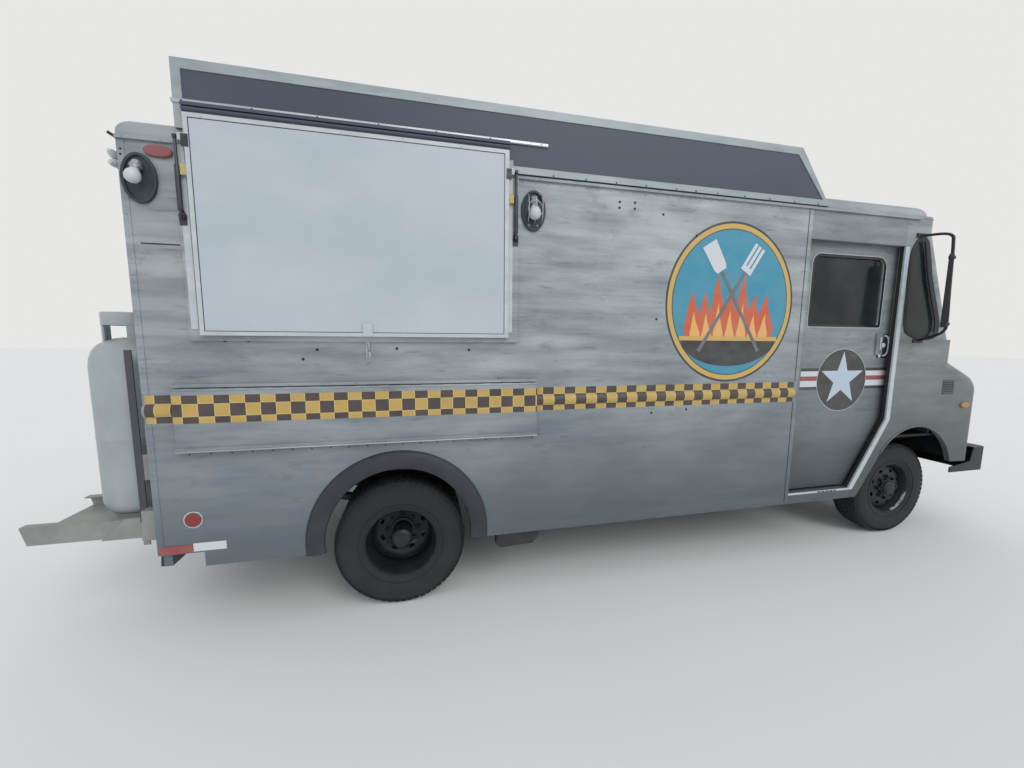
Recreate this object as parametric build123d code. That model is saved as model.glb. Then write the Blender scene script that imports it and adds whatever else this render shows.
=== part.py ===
import os
from math import cos, pi, sin

from build123d import *

# Frame: X runs forward, Y to the driver's side, Z up from the ground, all in millimetres.
# X zero is the middle of the whole length, from the rear rack to the front bumper.
half_length = 3370

# Body box
half_width = 1180
wall = 40
inner_half = half_width - wall
rear_x = -2730
post_x = 1270
step_front_x = 1855
door_front_x = 2158
skirt_z = 405
sill_z = 485
header_z = 2330
gutter_z = 2534
roof_top_z = 2632
roof_front_x = 2490
roof_skin = 35
roof_corner = 220
roof_edge = 78
gutter_depth = 14
far = 1300

# Nose and windscreen, as a side view
cowl_z = 1640
cowl_x = 2744
hood_rear_z = 1509
hood_front_x = 3170
hood_front_z = 1316
nose_foot = (3178, 620)
nose_arc = 170
nose_corner = 100
nose_skin = 35
screen_top_x = 2480
screen_foot_x = 2790
screen_top_z = 2450
screen_corner = 115
screen_glass_z = (1705, 2415)
screen_glass_y = (30, 1030)
hood_slope = (hood_rear_z - hood_front_z) / (hood_front_x - cowl_x)
screen_lean = (screen_foot_x - screen_top_x) / (screen_top_z - cowl_z)

# Wheels
front_axle_x = 2470
rear_axle_x = -1518
axle_z = 386
tyre_radius = 386
tyre_width = 216
bead_radius = 209
rim_radius = 206.5
front_track_half = 972
twin_track_half = (1030, 780)
kingpin_half = 860
tie_end_half = 820
steer_arm = 150
spindle_radius = 28
hub_bore = 32
twin_bore = 40
tyre_sides = 24
rim_sides = 16

# Floor and chassis
floor_top_z = 720
floor_z = 660
wheel_box_z = 872
sheet = 20
door_pocket_x = 400
pocket_half = 1085
rail_y = (380, 440)
rail_z = (520, 660)
rail_x = (-2690, 3135)
step_x = (1280, 1850)
step_half = 700
step_z = 475

# Wheel arches
rear_arch = (-1516, 465)
flare_outer = 515
flare_inner = 415
wall_arch = 450
front_arch = (2505, 516)
front_arch_radius = 430

# Serving side
hatch_x = (-2436, -884)
hatch_z = (1627, 2660)
hatch_y = (-1226, -1206)
hatch_axis = (-1226, 2668)
frame_y = -1198
opening_x = (-2400, -920)
opening_z = (1690, 2490)
hatch_pin_z = 2545
strut_foot_z = 2190
strut_y = -1216
strut_top_z = 2420
strut_xs = (-2478, -842)
shelf_x = (-2589, -702)
shelf_z = (1038, 1348)
shelf_y = (-1212, -1190)
shelf_axis = (-1206, 1354)
stripe_rail_z = (1214, 1282)

# Sign board
sign_y = (-1200, -1182)
sign_x = (-2480, 1116, 1378)
sign_low_z = 2545
sign_z = (2590, 2896)

# Cab doors
door_y = (-1120, -1090)
door_z = (492, 2352)
door_window_z = (1722, 2243)
door_window_x = (1384, 2050)

# Rear doors
rear_opening_half = 600
rear_door_z = (726, 2284)
rear_door_x = (-2734, -2698)
rear_hinge_x = -2740

# Rack, gas cylinder and rear step
rack_y = (-1080, -640)
rack_z = (558, 655)
rack_front_x = -2846
rack_deck_z = 600
gas_x = -2932
gas_y = -862
gas_radius = 185
rear_step_x = (-2905, -2731)
rear_step_y = (-600, 1100)
rear_step_z = (455, 545)
hitch_spacing = (85.7, 44.5)
hitch_bolt_radius = 6.75

nodes = {}


def block(x0, x1, y0, y1, z0, z1):
    """A box between two corners."""
    centre = ((x0 + x1) / 2, (y0 + y1) / 2, (z0 + z1) / 2)
    return Pos(*centre) * Box(abs(x1 - x0), abs(y1 - y0), abs(z1 - z0))


def side_face(sketch, y):
    """A side-view sketch stood on the plane at y."""
    return Plane.XZ.offset(-y) * sketch


def prism_xz(points, y0, y1):
    """A side-view outline, run across the truck from y0 to y1."""
    return extrude(side_face(Polygon(*points, align=None), y1), amount=y1 - y0, dir=(0, -1, 0))


def prism_yz(points, x0, x1):
    """A rear-view outline, run along the truck from x0 to x1."""
    face = Plane.YZ.offset(x0) * Polygon(*points, align=None)
    return extrude(face, amount=x1 - x0, dir=(1, 0, 0))


def across(x, y0, y1, z, radius):
    """A round bar along Y."""
    return Pos(x, (y0 + y1) / 2, z) * Rot(90, 0, 0) * Cylinder(radius, abs(y1 - y0))


def along(x0, x1, y, z, radius):
    """A round bar along X."""
    return Pos((x0 + x1) / 2, y, z) * Rot(0, 90, 0) * Cylinder(radius, abs(x1 - x0))


def upright(x, y, z0, z1, radius):
    """A round bar along Z."""
    return Pos(x, y, (z0 + z1) / 2) * Cylinder(radius, z1 - z0)


def tube(points, radius, sides):
    """A flat-sided tube through points, mitred at its bends."""
    path = Polyline(*points)
    section = Plane(origin=points[0], z_dir=path % 0) * RegularPolygon(radius, sides)
    return sweep(section, path=path, transition=Transition.RIGHT)


def turned(outline, sides):
    """A flat-sided solid of revolution about Y, from an outline of (radius, offset) pairs."""
    rings = []
    for step in range(sides + 1):
        angle = 2 * pi * (step % sides) / sides
        rings.append([Vector(r * sin(angle), offset, -r * cos(angle)) for r, offset in outline])
    faces = []
    for here, there in zip(rings, rings[1:]):
        for i in range(len(outline)):
            j = (i + 1) % len(outline)
            corners = [here[i], here[j]]
            if outline[j][0] > 0:
                corners.append(there[j])
            if outline[i][0] > 0:
                corners.append(there[i])
            if len(corners) > 2:
                faces.append(Face(Wire.make_polygon(corners, close=True)))
    return Solid(Shell(faces))


def standing(outline, sides):
    """The same about Z, offsets upwards."""
    return Rot(90, 0, 0) * turned(outline, sides)


def post(x, y, z0, z1, radius, sides):
    """A flat-sided post along Z."""
    return Pos(x, y, 0) * standing([(0, z0), (radius, z0), (radius, z1), (0, z1)], sides)


def mirrored(shape):
    """The same shape on the driver's side."""
    return mirror(shape, about=Plane.XZ)


def both(shape):
    """The shape on both sides."""
    return shape + mirrored(shape)


def hood_line(x):
    """Height of the nose's sloping top."""
    return hood_rear_z - (x - cowl_x) * hood_slope


def screen_line(z):
    """X of the windscreen's leaning face."""
    return screen_foot_x - (z - cowl_z) * screen_lean


# Side walls: skin, posts and lining as one thickness
def side_wall():
    outline = [
        (rear_x, skirt_z), (step_front_x, skirt_z), (step_front_x, sill_z), (post_x, sill_z),
        (post_x, header_z), (door_front_x, header_z), (door_front_x, gutter_z), (rear_x, gutter_z),
    ]
    panel = prism_xz(outline, -half_width, -inner_half)
    return panel - across(rear_arch[0], -far, -inner_half + 1, rear_arch[1], wall_arch)


nodes["side_wall_right"] = side_wall() - block(*opening_x, -far, -inner_half + 1, *opening_z)
nodes["side_wall_left"] = mirrored(side_wall())

# Rear wall round the two doors
rear_wall = block(rear_x, rear_x + wall, -inner_half, inner_half, skirt_z, gutter_z)
rear_wall -= block(
    rear_x - wall, rear_x + 2 * wall, -rear_opening_half, rear_opening_half, floor_top_z, rear_door_z[1] + 6
)
rail_hole = block(
    rear_x - wall, rear_x + 2 * wall, rail_y[0] - 2, rail_y[1] + 2, rail_z[0] - 2, rail_z[1] + 2
)
nodes["rear_wall"] = rear_wall - both(rail_hole)

# Roof cap: rounded in plan at the front, rolled at its edge, with a rain gutter
roof = block(rear_x, roof_front_x, -half_width, half_width, gutter_z, roof_top_z)
roof = fillet(roof.edges().filter_by(Axis.Z).group_by(Axis.X)[-1], roof_corner)
roof = fillet(roof.faces().sort_by(Axis.Z)[-1].edges(), roof_edge)
roof_room = block(
    rear_x + roof_skin, roof_front_x - wall, -inner_half, inner_half, gutter_z - 1, roof_top_z - roof_skin
)
roof_room = chamfer(roof_room.edges().filter_by(Axis.Z).group_by(Axis.X)[-1], roof_corner / 2)
roof_room = chamfer(roof_room.faces().sort_by(Axis.Z)[-1].edges(), roof_edge / 2)
roof -= roof_room
gutter = block(rear_x, 2270, -half_width - gutter_depth, -half_width, gutter_z - 10, gutter_z + 6)
nodes["roof"] = roof + both(gutter)


# Nose: a hollow shell, open for the wheels, hood, grille and headlamps
def rounded_shape(outline, half, radius, from_x):
    """A side outline run across the truck, its front and sloping edges rounded."""
    solid = prism_xz(outline, -half, half)
    rims = [
        e for e in solid.edges()
        if abs(abs(e.center().Y) - half) < 1 and e.center().X > from_x and abs((e @ 0).Z - (e @ 1).Z) > 30
    ]
    return fillet(rims, radius)


def arc_points(centre, radius, start, end, count):
    """Points on an arc, angles in degrees."""
    angles = [(start + (end - start) * i / count) * pi / 180 for i in range(count + 1)]
    return [(centre[0] + radius * cos(a), centre[1] + radius * sin(a)) for a in angles]


nose_side = Polygon(
    (step_front_x, skirt_z), (step_front_x, sill_z), (door_front_x, 1020), (door_front_x, cowl_z),
    (cowl_x, cowl_z), (cowl_x, hood_rear_z), (hood_front_x, hood_front_z), nose_foot, (2914, 628),
    (2900, skirt_z), align=None,
)
brow = nose_side.vertices().sort_by_distance((hood_front_x, hood_front_z, 0))[0]
nose_side = fillet(brow, nose_arc)
nose = extrude(side_face(nose_side, half_width), amount=2 * half_width, dir=(0, -1, 0))
brow_edges = [
    e for e in nose.edges()
    if abs(abs(e.center().Y) - half_width) < 1
    and e.center().X > cowl_x + 20
    and e.center().Z > nose_foot[1] + 20
]
nose = fillet(brow_edges, nose_corner)
room_top = hood_rear_z - nose_skin * 1.1
room_outline = [
    (1800, 300), (1800, cowl_z + 50), (cowl_x - nose_skin, cowl_z + 50),
    (cowl_x - nose_skin, room_top + 16),
    (3050, 1332), (3135, 1202), (3143, nose_foot[1] - 60), (3143, 300),
]
room = prism_xz(room_outline, nose_skin - half_width, half_width - nose_skin)
room_edges = [
    e for e in room.edges()
    if abs(abs(e.center().Y) - half_width + nose_skin) < 1
    and e.center().X > 2800
    and e.center().Z > nose_foot[1]
]
room = chamfer(room_edges, 55)
arch_slope = [
    (1934, skirt_z), (2166, 780), (front_arch[0], 800), (2914, 628), (2930, 300), (1869, 300),
]
arch_slot = prism_xz(arch_slope, -far, far)
arch_slot += across(front_arch[0], -far, far, front_arch[1], front_arch_radius)
nose = nose - room - arch_slot

hood_x = (2800, 3100)
hood_half = 640
hood_gap = 6
hood_axis = (2794, hood_line(2794) + 10)
hood_seam_z = 1303
hood_seam_gap = 10
hood_lean = (hood_axis[1] - hood_seam_z) / (hood_x[1] - hood_axis[0])
hood_seam = [(hood_x[1] + (z - hood_seam_z) * hood_lean, z) for z in (1200, 1700)]
hood = nose & prism_xz([(hood_x[0], 1200), *hood_seam, (hood_x[0], 1700)], -hood_half, hood_half)
hood += across(hood_axis[0], -hood_half, hood_half, hood_axis[1], 7)
hinge_strap = [
    (hood_axis[0], hood_axis[1] - 5), (2812, hood_line(2812) - 8), (2826, hood_line(2826)),
    (hood_axis[0], hood_axis[1] + 5),
]
hood += prism_xz(hinge_strap, -hood_half, hood_half)
hood_rim = [(x + hood_seam_gap, z) for x, z in hood_seam]
nose -= prism_xz(
    [(hood_x[0] - hood_gap, 1200), *hood_rim, (hood_x[0] - hood_gap, 1700)],
    -hood_half - hood_gap, hood_half + hood_gap,
) & block(2000, 4000, -far, far, 1200, cowl_z - 40)
grille_half = 540
grille_z = (770, 1170)
lamp_y = 830
lamp_z = 960
lamp_radius = 98
nose -= block(3100, 3300, -grille_half, grille_half, *grille_z)
lamp_hole = Plane.YZ.offset(3100) * Pos(lamp_y, lamp_z) * RegularPolygon(lamp_radius, 16)
nose -= both(extrude(lamp_hole, amount=200, dir=(1, 0, 0)))
nodes["nose"] = nose
nodes["hood"] = hood

# Grille: seven bars in a frame
grille_x = (3128, 3156)
grille = block(*grille_x, -grille_half, grille_half, *grille_z)
grille -= block(3100, 3300, -grille_half + 25, grille_half - 25, grille_z[0] + 25, grille_z[1] - 25)
for step in range(7):
    low = grille_z[0] + 50 + step * 46
    grille += prism_xz([(3130, low), (3154, low + 8), (3130, low + 20)], 20 - grille_half, grille_half - 20)
nodes["grille"] = grille

# Cab front: windscreen frame and quarter panels
cab_outline = [
    (door_front_x, cowl_z), (screen_foot_x, cowl_z), (screen_top_x, screen_top_z),
    (screen_top_x, gutter_z), (door_front_x, gutter_z),
]
cab = rounded_shape(cab_outline, half_width, screen_corner, screen_top_x - 60)
cab_room = [
    (door_front_x - wall, cowl_z - wall), (screen_foot_x - 26, cowl_z - wall),
    (screen_top_x - wall, screen_top_z),
    (screen_top_x - wall, gutter_z + wall), (door_front_x - wall, gutter_z + wall),
]
cab -= rounded_shape(cab_room, inner_half, screen_corner - wall, screen_top_x - 100)
quarter = [
    (2222, 1748), (2240, 1694), (2290, 1668), (2410, 1650), (2520, 1666), (2553, 1716), (2545, 1800),
    (2430, 2090), (2384, 2262), (2346, 2366), (2304, 2382), (2264, 2364), (2224, 2256), (2212, 2000),
]
cab -= prism_xz(quarter, -far, far)


def screen_slab(depth_in, depth_out):
    """A slab in one windscreen opening, leaning with it."""
    low, high = screen_glass_z
    points = [
        (screen_line(low) - depth_in, low), (screen_line(low) + depth_out, low),
        (screen_line(high) + depth_out, high), (screen_line(high) - depth_in, high),
    ]
    return prism_xz(points, *screen_glass_y)


nodes["cab_front"] = cab - both(screen_slab(80, 60))
quarter_pane = prism_xz(quarter, -1164, -1157)
nodes["cab_glass"] = both(screen_slab(22, -14)) + both(quarter_pane)

# Sliding cab doors: hung inside the wall, with a cut corner over the arch
door_outline = [(1240, door_z[0]), (1862, door_z[0]), (2196, 1082), (2196, door_z[1]), (1240, door_z[1])]


def door_pane(y0, y1):
    """The door's window with corners rounded in three steps."""
    outline = []
    for i, j, start in ((0, 0, 180), (1, 0, 270), (1, 1, 0), (0, 1, 90)):
        centre = (door_window_x[i] + (60, -60)[i], door_window_z[j] + (60, -60)[j])
        outline += arc_points(centre, 60, start, start + 90, 3)
    return prism_xz(outline, y0, y1)


cab_door = prism_xz(door_outline, *door_y) - door_pane(-far, 0)
handle = block(2050, 2110, door_y[0] - 12, door_y[0], 1520, 1680)
cab_door += handle - block(2060, 2100, -far, door_y[0] - 4, 1532, 1668)
door_glass = door_pane(door_y[0] + 12, door_y[0] + 18)
nodes["cab_door_right"] = cab_door
nodes["cab_door_glass_right"] = door_glass
nodes["cab_door_left"] = mirrored(cab_door)
nodes["cab_door_glass_left"] = mirrored(door_glass)

# Floor with door pockets, wheel boxes and step wells
floor = block(rear_x + wall, door_pocket_x, -inner_half, inner_half, floor_z, floor_top_z)
floor += block(door_pocket_x, 2690, -pocket_half, pocket_half, floor_z, floor_top_z)
floor -= both(block(*step_x, -far, -step_half, floor_z - 60, floor_top_z + 80))
tray_x = (step_x[0] - 25, step_x[1] + 25)
step_tray = block(*tray_x, -pocket_half, -step_half + 25, step_z - 30, floor_top_z)
step_tray += block(tray_x[0], step_x[1] + 3, -inner_half, -pocket_half, step_z - 30, step_z)
step_tray -= block(*step_x, -far, -step_half, step_z, floor_top_z + 80)
floor += both(step_tray)
rear_box_x = (rear_axle_x - 472, rear_axle_x + 472)
front_box_x = (1990, 2950)
box_half = 620
floor += both(block(*rear_box_x, -inner_half, -box_half - 10, floor_z, wheel_box_z))
floor += both(block(front_box_x[0], 2110, -pocket_half, -box_half, floor_z, wheel_box_z))
floor += both(block(2105, front_box_x[1], 36 - half_width, -box_half, floor_z, wheel_box_z))
for low, high in (rear_box_x, front_box_x):
    floor -= both(block(low + sheet, high - sheet, -far, -box_half - 10 - sheet, 300, wheel_box_z - sheet))
floor -= block(2080, 2900, -300, 300, 600, 800)
nodes["floor"] = floor

# Dashboard, firewall and engine cover
dash_outline = [(2420, 1240), (2400, 1470), (2600, 1580), (2690, 1580), (2690, 1240)]
dash = prism_xz(dash_outline, -1090, 1090)
dash += block(2690, 2706, -inner_half, inner_half, wheel_box_z, 1580)
dash += block(2690, 2706, -box_half, box_half, floor_z, wheel_box_z)
cover = block(2062, 2690, -320, 320, floor_top_z, 1200)
cover = chamfer(cover.edges().filter_by(Axis.X).group_by(Axis.Z)[-1], 50)
engine_room = block(2080, 2800, -300, 300, floor_z - 10, 1140)
nodes["dashboard"] = dash + cover - engine_room

# Seat and steering wheel
cushion = [
    (1400, 1130), (1860, 1130), (1880, 1170), (1860, 1220), (1510, 1230), (1475, 1780), (1400, 1790),
    (1380, 1240),
]
seat = prism_xz(cushion, 245, 685)
nodes["driver_seat"] = seat + block(1520, 1740, 340, 590, floor_top_z, 1130)
ring_outline = arc_points((215, 0), 16, 0, 288, 4)
wheel_ring = standing(ring_outline, 14) + Box(420, 32, 12) + Box(32, 420, 12)
column = Pos(0, 0, -180) * extrude(RegularPolygon(40, 8), amount=190)
nodes["steering_wheel"] = Pos(2150, 500, 1490) * Rot(0, -42, 0) * (wheel_ring + column)

# Serving counter behind the hatch: a top, two ends, a back and a shelf
counter_z = 1600
counter = block(-2420, -900, -1130, -590, counter_z - 40, counter_z)
for low in (-2380, -980):
    counter += block(low, low + 40, -1100, -600, floor_top_z, counter_z - 40)
counter += block(-2340, -980, -620, -600, floor_top_z, counter_z - 40)
counter += block(-2340, -980, -1100, -620, 1140, 1160)
nodes["serving_counter"] = counter

# Hatch frame on the side wall
frame = block(-2496, -824, frame_y, -half_width, 1600, 2520)
nodes["hatch_frame"] = frame - block(*opening_x, -far, 0, *opening_z)

# Strut feet, the hinge strip and the drip moulding over the hatch
fittings = block(hatch_x[0] - 4, hatch_x[1] + 4, -1232, sign_y[0], 2682, 2698)
fittings += block(-2490, -655, -1212, sign_y[0], 2712, 2732)
for x in strut_xs:
    fittings += block(x + 9, x + 18, strut_y - 8, frame_y, strut_foot_z - 14, strut_foot_z + 14)
    fittings += along(x - 8, x + 9, strut_y, strut_foot_z, 5)
nodes["hatch_fittings"] = fittings

# Hatch panel with its hinge tube, strut lugs and latch plate
hatch = block(*hatch_x, *hatch_y, *hatch_z) + along(*hatch_x, *hatch_axis, 9)
lug_z = (hatch_pin_z - 16, hatch_pin_z + 16)
hatch += block(strut_xs[0] + 14, hatch_x[0], *hatch_y, *lug_z)
hatch += block(hatch_x[1], strut_xs[1] - 14, *hatch_y, *lug_z)
hatch += block(-1680, -1630, hatch_y[0] - 10, hatch_y[0], 1628, 1700)
nodes["hatch_panel"] = hatch

# Gas struts: a tube on the foot pin and a rod up to the hatch, eight-sided
for name, x in zip(("rear", "front"), strut_xs):
    eye = [(5.5, -6), (12, -6), (12, 6), (5.5, 6)]
    barrel = [(5.8, strut_foot_z + 24), (5.8, strut_top_z), (10, strut_top_z), (10, strut_foot_z + 24)]
    strut_tube = Pos(x, strut_y, 0) * standing(barrel, 8)
    neck_z = (strut_foot_z + 10, strut_foot_z + 30)
    neck = [(0, neck_z[0]), (0, neck_z[1]), (6.5, neck_z[1]), (6.5, neck_z[0])]
    strut_tube += Pos(x, strut_y, 0) * standing(neck, 8)
    strut_tube += Pos(x, strut_y, strut_foot_z) * Rot(0, 0, 90) * turned(eye, 8)
    nodes["strut_tube_" + name] = strut_tube
    rod = [(0, 2270), (0, hatch_pin_z - 9), (4.5, hatch_pin_z - 9), (4.5, 2270)]
    strut_rod = Pos(x, strut_y, 0) * standing(rod, 8)
    strut_rod += Pos(x, strut_y, hatch_pin_z) * Rot(0, 0, 90) * turned(eye, 8)
    nodes["strut_rod_" + name] = strut_rod

# Serving shelf with its hinge tube and bottom lip
shelf = block(*shelf_x, *shelf_y, *shelf_z) + along(*shelf_x, *shelf_axis, 8)
nodes["serving_shelf"] = shelf + block(*shelf_x, shelf_y[0] - 10, shelf_y[0], shelf_z[0], shelf_z[0] + 22)

# Half-round rub rails beside the shelf and along the driver's side, and the shelf's hinge rail
rail_mid = sum(stripe_rail_z) / 2
rail_arc = ThreePointArc(
    (-half_width, stripe_rail_z[0]), (-half_width - 16, rail_mid), (-half_width, stripe_rail_z[1])
)
rail_face = make_face(Curve() + [rail_arc, Line(rail_arc @ 1, rail_arc @ 0)])
rail_end_x = post_x - 30


def rub_rail(x0, x1):
    """A half-round rail on the kerb side."""
    return extrude(Plane.YZ.offset(x0) * rail_face, amount=x1 - x0, dir=(1, 0, 0))


rails = rub_rail(rear_x, shelf_x[0] - 8) + rub_rail(shelf_x[1] + 8, rail_end_x)
rails += block(*shelf_x, -1214, -half_width, 1368, 1384)
nodes["rub_rails"] = rails + mirrored(rub_rail(rear_x, rail_end_x))

# Rear arch flares
flare_ring = [(flare_inner, 0), (flare_outer, 0), (flare_outer - 16, 26), (flare_inner, 26)]
flare = Pos(rear_arch[0], half_width, rear_arch[1]) * turned(flare_ring, 30)
nodes["arch_flares"] = both(flare & block(-2400, -600, 1000, far, skirt_z, 1100))

# Sign board on braces from the roof
sign_outline = [
    (sign_x[0], sign_z[0]), (sign_x[0], sign_z[1]), (sign_x[1], sign_z[1]), (sign_x[2], sign_low_z),
    (hatch_x[1] + 4, sign_low_z), (hatch_x[1] + 4, sign_z[0]),
]
sign = prism_xz(sign_outline, *sign_y)
for step in range(6):
    x = -2350 + step * 640
    brace = [
        (sign_y[1], 2820), (sign_y[1], 2850), (-900, roof_top_z + 12), (-900, roof_top_z),
        (-950, roof_top_z),
    ]
    sign += prism_yz(brace, x, x + 30)
nodes["sign_board"] = sign

# Lamps: headlamps, bulkhead lamps, side markers and tail lamps
dome = [(0, 3122), (0, 3172), (60, 3162), (lamp_radius - 4, 3140), (lamp_radius - 4, 3122)]
lamps = Pos(0, -lamp_y, lamp_z) * Rot(0, 0, -90) * turned(dome, 12)
lamps += block(-2620, -2500, -1196, -half_width, 2460, 2500)
lamps += block(2962, 3070, -half_width - 16, -half_width, 1078, 1134)
lamps += block(rear_x - 30, rear_x, -1130, -1040, 1100, 1240)
lamps = both(lamps)
oval = [(72 * cos(pi * i / 8), 2355 + 113 * sin(pi * i / 8)) for i in range(16)]
bulb = [(0, 12), (0, 62), (34, 52), (44, 30), (44, 12)]
for x in (-2636, -733):
    lamps += prism_xz([(x + u, z) for u, z in oval], -half_width - 12, -half_width)
    lamps += Pos(x, -half_width, 2359) * Rot(180, 0, 0) * turned(bulb, 8)
nodes["lamps"] = lamps

# Mirrors on tube arms
mirror_path = [(2290, -1176, 2420), (2430, -1320, 2412), (2460, -1352, 1690), (2400, -1176, 1632)]
mirror_arm = tube(mirror_path, 11, 6)
mirror_head = Box(150, 26, 520)
mirror_head = chamfer(mirror_head.edges().filter_by(Axis.Y), 24)
mirror_head = Pos(2450, -1345, 2000) * Rot(0, 2, 29) * mirror_head
nodes["mirrors"] = both((mirror_arm & block(2000, 3000, -1500, -half_width, 1500, 2600)) + mirror_head)

# Front bumper: a channel with its ends wrapped back
bumper_z = (525, 728)
bumper = block(2960, half_length, -1168, 1168, *bumper_z)
bumper = fillet(bumper.edges().filter_by(Axis.Z).group_by(Axis.X)[-1], 45)
bumper_room = block(2900, half_length - 8, -1160, 1160, bumper_z[0] + 8, bumper_z[1] - 8)
bumper_room += block(2900, 3230, -1160, 1160, bumper_z[0] - 8, bumper_z[1] + 8)
bumper_room += prism_xz([(2900, 560), (3190, 608), (3235, 800), (2900, 800)], -far, far)
bumper -= bumper_room
nodes["front_bumper"] = bumper + both(block(rail_x[1], half_length - 8, -rail_y[1], -rail_y[0], 560, 610))

# Ladder frame
chassis = both(block(*rail_x, -rail_y[1], -rail_y[0], *rail_z))
for x in (-2680, -1980, -1050, 200, 1500, 3040):
    chassis += block(x, x + 60, -rail_y[0], rail_y[0], rail_z[0] + 20, rail_z[1] - 20)
nodes["frame_rails"] = chassis

# Engine as one plain block
nodes["engine_block"] = block(2150, 2850, -280, 280, 450, 1080)

# Gearbox and drive shaft back to the rear axle
shaft = [(0, -2870), (0, 0), (45, 0), (45, -2870)]
gearbox = prism_yz([(-150, 440), (-90, 400), (90, 400), (150, 440), (150, 520), (-150, 520)], 1500, 2150)
nodes["drive_shaft"] = gearbox + Pos(1500, 0, 455) * Rot(0, 0, -90) * turned(shaft, 10)

# Fuel tank, and exhaust with its silencer
tank = block(-840, -60, 470, 900, 430, 650)
nodes["fuel_tank"] = chamfer(tank.edges().filter_by(Axis.X), 40)
silencer = [(0, -850), (28, -850), (28, -700), (90, -690), (90, -10), (28, 0), (28, 1400), (0, 1400)]
nodes["exhaust"] = Pos(0, -590, 560) * Rot(0, 0, -90) * turned(silencer, 10)

# Rear axle: tube, differential and brake back plates
axle_outline = [
    (0, -1000), (36, -1000), (36, -704), (165, -704), (165, -690), (60, -680), (60, -150), (120, -110),
    (150, 0), (120, 110), (60, 150), (60, 680), (165, 690), (165, 704), (36, 704), (36, 1000), (0, 1000),
]
rear_axle = Pos(rear_axle_x, 0, axle_z) * turned(axle_outline, 10)
nodes["rear_axle"] = rear_axle - block(-1372, -1200, -100, 100, 300, 600)

# Front axle: a dropped beam with pin eyes
beam = [(-830, 350), (-600, 330), (-400, 300), (400, 300), (600, 330), (830, 350),
        (830, 420), (600, 400), (400, 380), (-400, 380), (-600, 400), (-830, 420)]
front_axle = prism_yz(beam, front_axle_x - 40, front_axle_x + 40)
pin_eye = post(front_axle_x, -kingpin_half, 340, 430, 38, 8)
front_axle += both(pin_eye)
nodes["front_axle"] = front_axle - both(post(front_axle_x, -kingpin_half, 200, 600, 18, 8))


# Leaf springs with hangers to the rails
def leaf_pack(centre_x, half_span, low_z, high_z, y0, y1):
    """A bowed pack of leaves with a hanger at each end."""
    steps = 4
    under = []
    for i in range(steps + 1):
        share = 2 * i / steps - 1
        under.append((centre_x + half_span * share, low_z + (high_z - low_z) * share * share))
    over = [(x, z + 40) for x, z in reversed(under)]
    pack = prism_xz(under + over, y0, y1)
    for x in (centre_x - half_span, centre_x + half_span):
        pack += block(x - 40, x + 40, y0, -rail_y[1], high_z + 20, high_z + 70)
    return pack


springs = leaf_pack(rear_axle_x, 620, 446, 530, -620, -560)
springs += leaf_pack(front_axle_x, 480, 402, 500, -540, -480)
nodes["leaf_springs"] = both(springs)

# Knuckles: yoke, pin, spindle and steering arm
yoke_half = 38
yoke_plates = ((304, 334), (436, 466))
knuckle = upright(front_axle_x, -kingpin_half, 310, 460, 15)
for low, high in yoke_plates:
    knuckle += post(front_axle_x, -kingpin_half, low, high, yoke_half, 8)
    knuckle += block(
        front_axle_x - yoke_half, front_axle_x + yoke_half, -kingpin_half - 50, -kingpin_half, low, high
    )
knuckle += block(
    front_axle_x - yoke_half, front_axle_x + yoke_half, -kingpin_half - 68, -kingpin_half - 44, 304, 466
)
spindle_y = (-1030, -kingpin_half - 60)
spindle = [(0, spindle_y[0]), (spindle_radius, spindle_y[0]), (spindle_radius, spindle_y[1])]
spindle.append((0, spindle_y[1]))
knuckle += Pos(front_axle_x, 0, axle_z) * turned(spindle, 12)
tie_x = front_axle_x - steer_arm
arm = Polygon(
    (tie_x - 18, -tie_end_half - 16), (tie_x - 18, -tie_end_half + 16),
    (front_axle_x - 20, -kingpin_half + 30), (front_axle_x - 20, -kingpin_half - 20), align=None,
)
knuckle += Pos(0, 0, 306) * extrude(arm, amount=24, dir=(0, 0, 1))
nodes["knuckle_right"] = knuckle
nodes["knuckle_left"] = mirrored(knuckle)
tie_reach = tie_end_half + 14
tie_rod = [(0, -tie_reach), (14, -tie_reach), (14, tie_reach), (0, tie_reach)]
nodes["tie_rod"] = Pos(tie_x, 0, 286) * turned(tie_rod, 10)

# Wheels: outlines of (radius, offset), offsets outwards from the middle of the wheel
tyre_outline = [
    (bead_radius, -84), (270, -tyre_width / 2), (350, 6 - tyre_width / 2), (tyre_radius, -70),
    (tyre_radius, 70), (350, tyre_width / 2 - 6), (270, tyre_width / 2), (bead_radius, 84),
]
front_rim_outline = [
    (rim_radius, -80), (rim_radius, 80), (192, 80), (180, 34), (110, 62), (74, 62), (74, 104), (0, 104),
    (0, -26), (120, -26), (120, 8), (100, 46), (180, 18), (192, -80),
]
rear_rim_outline = [
    (rim_radius, 205), (192, 205), (182, 104), (150, 14), (74, 14), (74, 178), (0, 178), (0, -190),
    (150, -190), (150, -14), (182, -104), (192, -205), (rim_radius, -205), (rim_radius, -45), (150, 0),
    (rim_radius, 45),
]
twin_mid = sum(twin_track_half) / 2
twin_offset = twin_track_half[0] - twin_mid
tyre = turned(tyre_outline, tyre_sides)
front_place = Pos(front_axle_x, front_track_half, axle_z)
rear_place = Pos(rear_axle_x, twin_mid, axle_z)
twin_tyres = Pos(0, twin_offset, 0) * tyre + Pos(0, -twin_offset, 0) * tyre
front_rim = turned(front_rim_outline, rim_sides) - across(0, -30, 64, 0, hub_bore)
rear_rims = turned(rear_rim_outline, rim_sides) - across(0, -200, 110, 0, twin_bore)
wheel_pieces = {
    "rim_front": front_place * front_rim,
    "tyre_front": front_place * tyre,
    "rims_rear": rear_place * rear_rims,
    "tyres_rear": rear_place * twin_tyres,
}
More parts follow.
